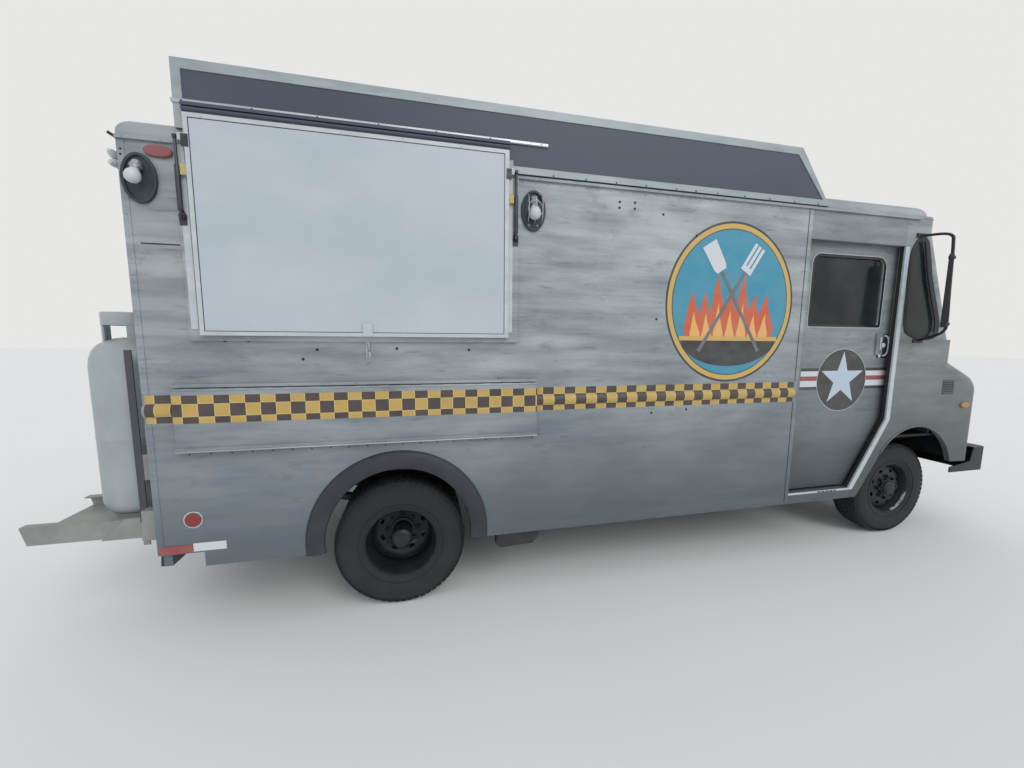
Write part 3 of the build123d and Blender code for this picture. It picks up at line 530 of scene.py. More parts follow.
def darkenUpright(material, settings):
    # white channels gone grey, with the tall angle left in dark steel
    tree, shader, coat = partsOf(material)
    x, y, z = axesOf(tree)
    band = times(tree, between(tree, x, *settings["uprightEdge"]), above(tree, z, settings["uprightFoot"]))
    steel = blendColour(tree, speckle(tree, (8, 8, 8), 4.0), colour(54, 58, 62), colour(78, 82, 86))
    feed(tree, shader, {"Base Color": blendColour(tree, band, coat, steel)})


rimSettings = {
    "wheels": {2.470: (0.2010, 0.2110, -44, 0.9), -1.518: (0.116, 0.132, -70, 0.16)},
    # axle's X: inner and outer radius of the pale ring of worn metal and painted highlight, its middle angle in
    # degrees, its share
    "axleZ": 0.386,
    "spread": 30,
}


def scuffAndHighlightRims(material, settings):
    # near-black wheel paint with a pale arc on each wheel: kerb scuffs with a painted highlight where the rim's flange
    # catches the light
    tree, shader, tone = partsOf(material)
    x, y, z = axesOf(tree)
    high = minus(tree, z, settings["axleZ"])
    broken = remap(tree, speckle(tree, (28, 28, 28), 3.0, 0.6), 0.42, 0.5)
    for axle, (inner, outer, middle, share) in settings["wheels"].items():
        ahead = minus(tree, x, axle)
        radius = calc(tree, plus(tree, times(tree, ahead, ahead), times(tree, high, high)), operation="SQRT")
        angle = calc(tree, high, ahead, operation="ARCTAN2")
        off = sizeOf(tree, minus(tree, angle, math.radians(middle)))
        mask = times(tree, below(tree, off, math.radians(settings["spread"])), between(tree, radius, inner, outer))
        mask = times(tree, mask, times(tree, broken, share))
        tone = blendColour(tree, mask, tone, colour(166, 170, 174))
    feed(tree, shader, {"Base Color": tone})


def paintHingeEdge(material, edgeZ=2.6535):
    # pale panel; its hinge edge carries the slate of the sign board
    tree, shader, pale = partsOf(material)
    top = above(tree, axesOf(tree)[2], edgeZ)
    feed(tree, shader, {"Base Color": blendColour(tree, top, pale, colour(66, 74, 88))})


finishes.update(seatCloth=seatMaterial(), floorPlate=floorMaterial(plateSettings))
darkenUpright(finishes["rackCoat"], rackSettings)
scuffAndHighlightRims(finishes["rimCoat"], rimSettings)
paintHingeEdge(finishes["hatchPanelPaint"])


def decalMaterial(name, base, fade=0.25, roughness=0.5):
    # vinyl or sign paint, faded in clouds and rubbed through in specks
    base = colour(*base)
    material, tree, shader = startMaterial(name)
    cloud = speckle(tree, (5, 5, 9), 5.0, 0.6)
    rubbed = remap(tree, speckle(tree, (60, 60, 60), 5.0, 0.7), 0.66, 0.74)
    pale = tuple(c * 0.75 + 0.25 * p for c, p in zip(base[:3], silverPaint["light"][:3])) + (1,)
    tone = blendColour(tree, times(tree, remap(tree, cloud, 0.35, 0.7), fade * 2), base, pale)
    tone = blendColour(tree, times(tree, rubbed, 0.3), tone, silverPaint["dark"])
    tree.links.new(tone, shader.inputs["Base Color"])
    tree.links.new(timesPlus(tree, cloud, 0.2, roughness - 0.1), shader.inputs["Roughness"])
    finishBump(tree, shader, cloud, 0.05, 0.001)
    return material


decals = {
    "charcoal": (52, 51, 49), "white": (206, 210, 214), "paleBlue": (180, 198, 212), "red": (146, 72, 68),
    "teal": (56, 142, 168), "gold": (202, 166, 88), "flame": (200, 92, 56), "ember": (226, 172, 96),
    "grey": (104, 108, 112),
}
finishes.update({name: decalMaterial(name + "Paint", base) for name, base in decals.items()})
print("materials made:", len(bpy.data.materials))


# mesh shapes: each is (points, faces), in metres where the piece stands
def onAxis(axis, a, b, offset):
    return {"x": (offset, a, b), "y": (a, offset, b), "z": (a, b, offset)}[axis]


boxFaces = [(0, 1, 3, 2), (4, 6, 7, 5), (0, 4, 5, 1), (2, 3, 7, 6), (0, 2, 6, 4), (1, 5, 7, 3)]


def boxShape(low, high):
    points = [(x, y, z) for x in (low[0], high[0]) for y in (low[1], high[1]) for z in (low[2], high[2])]
    return points, boxFaces


def prismShape(outline, low, high, axis="y"):
    count = len(outline)
    points = [onAxis(axis, a, b, offset) for offset in (low, high) for a, b in outline]
    faces = [tuple(range(count)), tuple(range(2 * count - 1, count - 1, -1))]
    faces += [(i, (i + 1) % count, count + (i + 1) % count, count + i) for i in range(count)]
    return points, faces


def frameShape(outer, inner, low, high, axis="y"):
    # a flat ring between two outlines with the same number of corners
    count = len(outer)
    points = [onAxis(axis, a, b, offset) for offset in (low, high) for loop in (outer, inner) for a, b in loop]
    faces = []
    for i in range(count):
        j = (i + 1) % count
        faces += [(i, j, count + j, count + i), (2 * count + i, 2 * count + j, 3 * count + j, 3 * count + i)]
        faces += [(i, j, 2 * count + j, 2 * count + i), (count + i, count + j, 3 * count + j, 3 * count + i)]
    return points, faces


def spinShape(profile, centre, axis="y", sides=48, closed=True, sweep=360, start=0):
    # profile of (radius, offset) turned about an axis through centre
    full = abs(sweep) >= 360
    rings = sides if full else sides + 1
    points = []
    for step in range(rings):
        angle = math.radians(start + sweep * step / sides)
        for radius, offset in profile:
            a, b = radius * math.sin(angle), -radius * math.cos(angle)
            corner = onAxis(axis, a, b, offset)
            points.append(tuple(c + p for c, p in zip(centre, corner)))
    count = len(profile)
    faces = []
    for step in range(sides):
        here, there = step * count, ((step + 1) % rings) * count
        for i in range(count if closed else count - 1):
            j = (i + 1) % count
            faces.append((here + i, here + j, there + j, there + i))
    if not full and closed:
        faces += [tuple(range(count)), tuple(range(sides * count, (sides + 1) * count))]
    return points, faces


def pinProfile(radius, low, high):
    return [(0, low), (radius, low), (radius, high), (0, high)]


def smoothPath(points, steps=6, closed=False):
    points = [Vector(p) for p in points]
    count = len(points)
    path = []
    spans = count if closed else count - 1
    for i in range(spans):
        around = [points[(i + k) % count] if closed else points[min(max(i + k, 0), count - 1)] for k in (-1, 0, 1, 2)]
        p0, p1, p2, p3 = around
        for step in range(steps):
            t = step / steps
            path.append(0.5 * ((2 * p1) + (p2 - p0) * t + (2 * p0 - 5 * p1 + 4 * p2 - p3) * t ** 2
                               + (3 * p1 - p0 - 3 * p2 + p3) * t ** 3))
    if not closed:
        path.append(points[-1])
    return path


def pipeShape(path, radius, sides=12, closed=False):
    path = [Vector(p) for p in path]
    count = len(path)
    side = None
    points, faces = [], []
    for i, spot in enumerate(path):
        after = path[(i + 1) % count] if closed or i < count - 1 else spot
        before = path[i - 1] if closed or i > 0 else spot
        heading = (after - before).normalized()
        if side is None:
            side = heading.orthogonal().normalized()
        side = (side - heading * side.dot(heading)).normalized()
        other = heading.cross(side)
        for k in range(sides):
            angle = 2 * math.pi * k / sides
            points.append(tuple(spot + radius * (math.cos(angle) * side + math.sin(angle) * other)))
    for i in range(count if closed else count - 1):
        here, there = i * sides, ((i + 1) % count) * sides
        faces += [(here + k, here + (k + 1) % sides, there + (k + 1) % sides, there + k) for k in range(sides)]
    if not closed:
        faces += [tuple(range(sides)), tuple(range((count - 1) * sides, count * sides))]
    return points, faces


def moved(shape, matrix):
    return [tuple(matrix @ Vector(p)) for p in shape[0]], shape[1]


def mirroredShape(shape):
    return [(x, -y, z) for x, y, z in shape[0]], shape[1]


def bothSides(shapes):
    return list(shapes) + [mirroredShape(shape) for shape in shapes]


def inset(outline, distance):
    # an outline moved inwards by distance (outwards when negative), corners mitred
    area = sum(a[0] * b[1] - b[0] * a[1] for a, b in zip(outline, outline[1:] + outline[:1]))
    turn = 1 if area > 0 else -1
    result = []
    for i, corner in enumerate(outline):
        before, after = Vector(outline[i - 1]), Vector(outline[(i + 1) % len(outline)])
        here = Vector(corner)
        first, second = (here - before).normalized(), (after - here).normalized()
        normals = [Vector((-d.y, d.x)) * turn for d in (first, second)]
        middle = normals[0] + normals[1]
        length = distance / max(0.35, middle.normalized().dot(normals[0]))
        result.append(tuple(here + middle.normalized() * length))
    return result


def roundRect(x0, x1, z0, z1, radius, steps=5):
    outline = []
    for cx, cz, start in ((x1 - radius, z1 - radius, 0), (x0 + radius, z1 - radius, 90),
                          (x0 + radius, z0 + radius, 180), (x1 - radius, z0 + radius, 270)):
        for step in range(steps + 1):
            angle = math.radians(start + 90 * step / steps)
            outline.append((cx + radius * math.cos(angle), cz + radius * math.sin(angle)))
    return outline


def turnAngles(count):
    return [2 * math.pi * i / count for i in range(count)]


def ovalOutline(cx, cz, halfX, halfZ, count=32):
    return [(cx + halfX * math.cos(a), cz + halfZ * math.sin(a)) for a in turnAngles(count)]


def meshOf(name, shapes):
    total = bmesh.new()
    for points, faces in shapes:
        part = bmesh.new()
        corners = [part.verts.new(p) for p in points]
        for face in faces:
            if len(set(face)) > 2:
                part.faces.new([corners[i] for i in face])
        bmesh.ops.remove_doubles(part, verts=part.verts, dist=1e-6)
        bmesh.ops.recalc_face_normals(part, faces=part.faces)
        temp = bpy.data.meshes.new("temp")
        part.to_mesh(temp)
        total.from_mesh(temp)
        bpy.data.meshes.remove(temp)
        part.free()
    mesh = bpy.data.meshes.new(name)
    total.to_mesh(mesh)
    total.free()
    return mesh


def place(name, mesh, finish, body="truck", slot=None, stands=(), sharp=35, bevel=0.0):
    mesh.materials.clear()
    mesh.materials.append(finishes[finish])
    mesh.polygons.foreach_set("use_smooth", [True] * len(mesh.polygons))
    mesh.set_sharp_from_angle(angle=math.radians(sharp))
    piece = bpy.data.objects.new(name, mesh)
    scene.collection.objects.link(piece)
    if bevel:
        edges = piece.modifiers.new("edges", "BEVEL")
        edges.width = bevel
        edges.segments = 2
        edges.limit_method = "ANGLE"
        edges.angle_limit = math.radians(40)
    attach(piece, body)
    if stands:
        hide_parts(*stands)
    return piece


def addPiece(name, shapes, finish, **settings):
    return place(name, meshOf(name, shapes), finish, **settings)


def addPair(name, shapes, finish, **settings):
    return addPiece(name, bothSides(shapes), finish, **settings)


def settle(*objects):
    # the first object's mesh as its modifiers leave it; then all of them go
    mesh = bpy.data.meshes.new_from_object(objects[0].evaluated_get(bpy.context.evaluated_depsgraph_get()))
    for item in objects:
        bpy.data.objects.remove(item)
    return mesh


def cutMesh(name, mesh, cutters):
    # the mesh with the cutters' shapes taken out of it
    solid, cutter = (bpy.data.objects.new(name + "Solid", item) for item in (mesh, meshOf(name + "Cut", cutters)))
    for item in (solid, cutter):
        scene.collection.objects.link(item)
    boolean = solid.modifiers.new("cut", "BOOLEAN")
    boolean.object = cutter
    boolean.solver = "EXACT"
    return settle(solid, cutter)


# Geometry Nodes trees for what repeats
def startTree(name, inputs):
    sockets = [("Geometry", "Geometry", None), *inputs, ("Finish", "Material", None)]
    return makeGroup(name, sockets, [("Geometry", "Geometry")], "GeometryNodeTree")


def endTree(tree, instances, given, out):
    solid = addNode(tree, "GeometryNodeRealizeInstances", {0: instances}).outputs[0]
    finished = addNode(tree, "GeometryNodeSetMaterial", {"Geometry": solid, "Material": given["Finish"]})
    tree.links.new(finished.outputs[0], out["Geometry"])
    return tree


def copiesOf(tree, given):
    # the template as one instance, taken Count times
    single = addNode(tree, "GeometryNodeGeometryToInstance", {0: given["Geometry"]}).outputs[0]
    amount = {"Geometry": single, "Amount": given["Count"]}
    return addNode(tree, "GeometryNodeDuplicateElements", amount, domain="INSTANCE").outputs


def makeFasteners():
    # domed heads spaced along the drawn lines, facing one way
    tree, given, out = startTree("fastenerLine", [
        ("Spacing", "Float", 0.1), ("Radius", "Float", 0.005), ("Height", "Float", 0.003),
        ("Facing", "Vector", (0, -1, 0)),
    ])
    curve = addNode(tree, "GeometryNodeMeshToCurve", {0: given["Geometry"]}).outputs[0]
    evened = addNode(tree, "GeometryNodeResampleCurve", {"Curve": curve, "Length": given["Spacing"]}, mode="LENGTH")
    head = addNode(tree, "GeometryNodeMeshCone", {
        "Vertices": 8, "Radius Top": times(tree, given["Radius"], 0.55), "Radius Bottom": given["Radius"],
        "Depth": given["Height"],
    })
    facing = addNode(tree, "FunctionNodeAlignRotationToVector", {"Vector": given["Facing"]}, axis="Z")
    spread = addNode(tree, "GeometryNodeInstanceOnPoints", {
        "Points": evened.outputs[0], "Instance": head.outputs["Mesh"], "Rotation": facing.outputs[0],
    })
    return endTree(tree, spread.outputs[0], given, out)


def makeRing():
    # copies of one template turned about an axis across the truck
    tree, given, out = startTree("wheelRing", [("Count", "Int", 8), ("Centre", "Vector", (0, 0, 0))])
    many = copiesOf(tree, given)
    turn = times(tree, many["Duplicate Index"], over(tree, 2 * math.pi, given["Count"]))
    turned = addNode(tree, "GeometryNodeRotateInstances", {
        "Instances": many["Geometry"], "Rotation": addNode(tree, "ShaderNodeCombineXYZ", {"Y": turn}).outputs[0],
        "Pivot Point": given["Centre"], "Local Space": False,
    })
    return endTree(tree, turned.outputs[0], given, out)


def makeRow():
    # copies of one template set out at even steps
    tree, given, out = startTree("evenRow", [("Count", "Int", 8), ("Step", "Vector", (0.1, 0, 0))])
    many = copiesOf(tree, given)
    shift = addNode(tree, "ShaderNodeVectorMath", {0: given["Step"], "Scale": many["Duplicate Index"]},
                    operation="SCALE")
    spread = addNode(tree, "GeometryNodeTranslateInstances", {
        "Instances": many["Geometry"], "Translation": shift.outputs[0], "Local Space": False,
    })
    return endTree(tree, spread.outputs[0], given, out)


fastenerLine, wheelRing, evenRow = makeFasteners(), makeRing(), makeRow()


def growMesh(name, seedMesh, tree, finish, **values):
    # runs one tree on a seed mesh and hands back the plain result
    values = {**{key[0].upper() + key[1:]: value for key, value in values.items()}, "Finish": finishes[finish]}
    seed = bpy.data.objects.new(name + "Seed", seedMesh)
    scene.collection.objects.link(seed)
    modifier = seed.modifiers.new("grow", "NODES")
    modifier.node_group = tree
    for item in tree.interface.items_tree:
        if item.item_type == "SOCKET" and item.in_out == "INPUT" and item.name in values:
            modifier[item.identifier] = values[item.name]
    grown = settle(seed)
    grown.name = name
    return grown


def growRow(name, shapes, finish, count, step, **settings):
    # one template repeated in a straight row
    mesh = growMesh(name, meshOf(name + "Seed", shapes), evenRow, finish, count=count, step=step)
    return place(name, mesh, finish, **settings)


def addFasteners(name, lines, finish, spacing, radius=0.005, height=0.003, facing=(0, -1, 0), **settings):
    mesh = bpy.data.meshes.new(name)
    points, edges = [], []
    for line in lines:
        base = len(points)
        points += line
        edges += [(base + i, base + i + 1) for i in range(len(line) - 1)]
    mesh.from_pydata(points, edges, [])
    heads = growMesh(name, mesh, fastenerLine, finish, spacing=spacing, radius=radius, height=height, facing=facing)
    return place(name, heads, finish, **settings)


# finishes for the CAD nodes that stay
nodeFinish = {
    "silver": "rear_wall hatch_frame rear_door_left rear_door_right",
    "silverBand": "side_wall_right side_wall_left rub_rails serving_shelf",
    "silverRoof": "roof",
    "silverNose": "nose hood",
    "silverDoor": "cab_front cab_door_right cab_door_left",
    "trimMetal": "grille hatch_fittings",
    "cabGlass": "cab_glass",
    "darkGlass": "cab_door_glass_right cab_door_glass_left",
    "floorPlate": "floor",
    "interiorTrim": "dashboard steering_wheel",
    "seatCloth": "driver_seat",
    "steelSheet": "serving_counter exhaust",
    "hatchPanelPaint": "hatch_panel",
    "chrome": "strut_rod_rear strut_rod_front",
    "flareRubber": "arch_flares",
    "slateBoard": "sign_board",
    "lensAmber": "lamps",
    "bumperCoat": "front_bumper",
    "blackCoat": "strut_tube_rear strut_tube_front mirrors frame_rails fuel_tank leaf_springs rear_step",
    "castMetal": "engine_block drive_shaft rear_axle front_axle knuckle_right knuckle_left tie_rod",
    "rackCoat": "rear_rack",
    "rimCoat": "rim_front_right rim_front_left rims_rear_right rims_rear_left",
    "bottleCoat": "gas_cylinder",
    "tyreRubber": "tyre_front_right tyre_front_left tyres_rear_right tyres_rear_left",
}
for finish, names in nodeFinish.items():
    for node in (nodes[name] for name in names.split()):
        if not node.data.materials:
            node.data.materials.append(finishes[finish])
        for slot in node.material_slots:
            slot.material = finishes[finish]
print("CAD nodes finished")


# wheels
wheelSettings = {
    "axleZ": 0.386,
    "frontX": 2.470,
    "rearX": -1.518,
    "frontTrack": 0.972,
    "twinTracks": (1.030, 0.780),
    "lugs": 60,
    "ribs": 120,
    "nuts": 8,
}
tyreProfile = [
    (0.2125, -0.070), (0.2125, -0.086), (0.220, -0.094), (0.238, -0.1015), (0.266, -0.1065), (0.300, -0.1078),
    (0.330, -0.105), (0.352, -0.099), (0.368, -0.090), (0.3765, -0.080), (0.3785, -0.060), (0.379, -0.030),
]
tyreProfile += [(radius, -offset) for radius, offset in reversed(tyreProfile)]
ribBands = [(-0.0915, -0.060), (-0.053, -0.0225), (-0.0155, 0.0155), (0.0225, 0.053), (0.060, 0.0915)]
tyreLines = ((0.246, 0.003), (0.336, 0.004), (0.3435, 0.002))  # raised rings on the side walls: radius, width
rowLean = (0.004, -0.003, 0.002, -0.003, 0.004)


def joinMeshes(name, meshes):
    total = bmesh.new()
    for mesh in meshes:
        total.from_mesh(mesh)
    joined = bpy.data.meshes.new(name)
    total.to_mesh(joined)
    total.free()
    for mesh in meshes:
        bpy.data.meshes.remove(mesh)
    return joined


def sideRing(radius, width, side):
    skin = 0.1068 if radius < 0.3 else 0.1032 + (0.336 - radius) * 0.24
    return [(radius, side * (skin - 0.004)), (radius, side * skin), (radius + width, side * skin),
            (radius + width, side * (skin - 0.004))]


def treadBlock(centre, row, half=0.0172, foot=0.3735, top=0.3858):
    cx, cy, cz = centre
    low, high = ribBands[row]
    shift = 0.008 * (row % 2)
    outer = {0: low, len(ribBands) - 1: high}.get(row)  # the shoulder edge is lower
    corners = []
    for level, narrow, sink in ((foot, 1, 0), (top, 0.94, 0.0009)):
        for y in (low, high):
            drop = 0.006 if level == top and y == outer else 0
            lean = rowLean[row] * (1 if y == high else -1)
            corners += [(cx + x * narrow + shift + lean, cy + y, cz + (level - drop) - sink) for x in (-half, half)]
    return corners, boxFaces


def tyreMesh(name, centres):
    meshes = [meshOf(name, [spinShape(outline, centre, sides=72) for centre in centres for outline in [
        tyreProfile, *(sideRing(*line, side) for side in (-1, 1) for line in tyreLines)]])]
    for centre in centres:
        cx, cy, cz = centre
        seeds = [("Row", treadBlock(centre, row), wheelSettings["lugs"]) for row in range(len(ribBands))]
        for side in (-1, 1):
            y = cy + side * 0.095
            rib = boxShape((cx - 0.0012, y - 0.004, cz + 0.350), (cx + 0.0012, y + 0.004, cz + 0.366))
            seeds.append(("Rib", rib, wheelSettings["ribs"]))
        for kind, seed, count in seeds:
            mesh = meshOf(name + kind + "Seed", [seed])
            meshes.append(growMesh(name + kind, mesh, wheelRing, "tyreRubber", count=count, centre=centre))
    return joinMeshes(name, meshes)


barrelProfile = [
    (0.2135, 0.089), (0.2135, 0.084), (0.2065, 0.080), (0.2035, 0.062), (0.197, 0.046), (0.191, 0.02),
    (0.191, -0.05), (0.2035, -0.070), (0.2135, -0.084), (0.2135, -0.089), (0.207, -0.087), (0.199, -0.070),
    (0.186, -0.048), (0.186, 0.022), (0.192, 0.048), (0.199, 0.064), (0.202, 0.080), (0.2085, 0.0895),
]
frontDisc = [
    (0.187, 0.030), (0.182, 0.036), (0.170, 0.044), (0.150, 0.052), (0.118, 0.058), (0.074, 0.060), (0.040, 0.060),
    (0.040, 0.053), (0.074, 0.053), (0.116, 0.051), (0.147, 0.045), (0.168, 0.037), (0.187, 0.022),
]
frontHub = [
    (0.0, 0.1035), (0.040, 0.1035), (0.052, 0.100), (0.060, 0.092), (0.063, 0.080), (0.072, 0.078), (0.074, 0.070),
    (0.074, 0.050), (0.0, 0.050),
]
rearDisc = [
    (0.187, 0.026), (0.180, 0.020), (0.168, 0.006), (0.155, -0.002), (0.120, -0.006), (0.074, -0.006), (0.030, -0.006),
    (0.030, -0.013), (0.120, -0.013), (0.157, -0.009), (0.172, -0.001), (0.187, 0.014),
]
rearHub = [
    (0.0, 0.052), (0.046, 0.052), (0.056, 0.048), (0.060, 0.040), (0.060, 0.008), (0.073, 0.006), (0.074, -0.002),
    (0.074, -0.010), (0.0, -0.010),
]


def flipProfile(profile, outward):
    return [(radius, outward * offset) for radius, offset in profile]


def holedDisc(name, profile, centre, outward, holeRadius, holeSize, depth, holes=8):
    # a spun disc with oval hand holes cut through it
    disc = meshOf(name, [spinShape(flipProfile(profile, outward), centre, sides=96)])
    oval = ovalOutline(0, holeRadius, *holeSize, 20)
    hole = prismShape(oval, outward * depth[0], outward * depth[1])
    turns = (Matrix.Rotation(2 * math.pi * (step + 0.5) / holes, 4, "Y") for step in range(holes))
    return cutMesh(name, disc, [moved(hole, Matrix.Translation(centre) @ turn) for turn in turns])


def nutRing(name, centre, outward, offset, ringRadius=0.0945):
    cx, cy, cz = centre
    nut = [(cx + 0.0145 * math.sin(math.pi * k / 3), cz + ringRadius + 0.0145 * math.cos(math.pi * k / 3))
           for k in range(6)]
    foot = cy + outward * offset
    shapes = [
        prismShape(nut, foot, cy + outward * (offset + 0.016)),
        spinShape(pinProfile(0.0175, 0, 0.003), (cx, foot - (0.003 if outward < 0 else 0), cz + ringRadius), sides=14),
        spinShape(flipProfile([(0, 0), (0.008, 0), (0.008, 0.008), (0.005, 0.011), (0, 0.011)], outward),
                  (cx, cy + outward * (offset + 0.015), cz + ringRadius), sides=10),
    ]
    return growMesh(name, meshOf(name + "Seed", shapes), wheelRing, "rimCoat", count=wheelSettings["nuts"],
                    centre=centre)


def buildWheels(settings):
    frontDrum = [(0.070, 0.034), (0.150, 0.034), (0.162, 0.026), (0.162, -0.026), (0.152, -0.026), (0.152, 0.022),
                 (0.070, 0.022)]
    rearDrum = [(0.150, -0.10), (0.150, -0.012), (0.040, -0.012), (0.040, -0.10)]
    rearCore = [(0.0, 0.052), (0.046, 0.052), (0.060, 0.040), (0.060, -0.12), (0.0, -0.12)]
    sunkHub = [(r, o - 0.10) for r, o in rearHub]
    dished = [(r, o - 0.105) if r < 0.181 else (r, o - 0.09) for r, o in rearDisc]
    shifted = [(r, o + 0.003) for r, o in dished]
    for side, outward in (("right", -1), ("left", 1)):

        def spun(profile, centre, sides, way=outward):
            return spinShape(flipProfile(profile, way), centre, sides=sides)

        def mount(end, plural, meshes, centres):
            rim, tyre = (kind + plural + "_" + end + "_" + side for kind in ("rim", "tyre"))
            body = "wheel_" + end + "_" + side
            place("wheel" + plural + end.capitalize() + side, joinMeshes(rim, meshes), "rimCoat", body=body,
                  slot="black_steel", stands=(rim,))
            place("tyre" + plural + end.capitalize() + side, tyreMesh("tyre" + plural, centres), "tyreRubber",
                  body=body, slot="tyre", stands=(tyre,))

        centre = (settings["frontX"], outward * settings["frontTrack"], settings["axleZ"])
        mount("front", "", [
            meshOf("barrel", [spun(barrelProfile, centre, 96), spun(frontHub, centre, 40)]),
            holedDisc("frontDisc", frontDisc, centre, outward, 0.146, (0.021, 0.013), (0.02, 0.075)),
            nutRing("frontNuts", centre, outward, 0.0605),
            meshOf("drum", [spun(frontDrum, centre, 64)]),
        ], [centre])
        outer, inner = [(settings["rearX"], outward * track, settings["axleZ"]) for track in settings["twinTracks"]]
        holes = (0.138, (0.020, 0.013), (-0.15, -0.06))
        mount("rear", "s", [
            meshOf("barrels", [spun(barrelProfile, outer, 96), spun(barrelProfile, inner, 96, -outward),
                               spun(sunkHub, outer, 40), spun(rearCore, outer, 40), spun(rearDrum, inner, 48)]),
            holedDisc("rearDisc", dished, outer, outward, *holes),
            holedDisc("innerDisc", shifted, inner, -outward, *holes),
            nutRing("rearNuts", outer, outward, -0.1105),
        ], [outer, inner])


buildWheels(wheelSettings)
print("wheels built")


# sign board: one mitred frame, with screws along its foot
signSettings = {
    "face": -1.200,
    "outer": [(-2.480, 2.590), (-2.480, 2.896), (1.116, 2.896), (1.378, 2.545), (-0.880, 2.545), (-0.880, 2.590)],
    "inner": [(-2.440, 2.612), (-2.440, 2.850), (1.085, 2.850), (1.318, 2.583), (-0.858, 2.583), (-0.858, 2.612)],
    "screwZ": 2.551,
    "screws": [-0.620, -0.421, -0.225, -0.028, 0.180, 0.320, 0.480, 0.683, 0.881, 1.083, 1.281],
}


def roundHead(x, y, z, radius=0.005, height=0.0025, sides=10):
    # a small domed head standing out of the right side
    dome = [(0, 0), (radius, 0), (radius * 0.9, -height * 0.6), (radius * 0.5, -height), (0, -height)]
    return spinShape(dome, (x, y, z), sides=sides)


def buildSign(settings):
    face = settings["face"]
    addPiece("signFrame", [frameShape(settings["outer"], settings["inner"], face - 0.004, face + 0.0005)], "paleTrim",
             slot="steel", bevel=0.0012)
    addPiece("signScrews", [roundHead(x, face - 0.004, settings["screwZ"]) for x in settings["screws"]], "blackCoat",
             slot="steel")


buildSign(signSettings)


# serving hatch: edge frame, rails, drop bolt, buffers, hinge cover, moulding and gas struts
hatchSettings = {
    "panel": [(-2.436, 1.627), (-0.890, 1.627), (-0.890, 2.6525), (-2.436, 2.6525)],
    "face": -1.226,
    "frameWidth": 0.020,
    "strutX": (-2.478, -0.842),
    "strutY": -1.216,
    "eyes": (2.190, 2.545),
    "rails": ((-2.484, -2.452), (-0.884, -0.858)),
    "buffers": ((-2.466, -2.436), (-0.884, -0.856)),
    "wall": -1.200,
    "rivets": ((-2.36, -2.05, -1.75, -1.45, -1.15, -0.96), (1.637, 2.643)),
    "bolt": (-1.656, -1.192),  # X and Y of the drop bolt
}


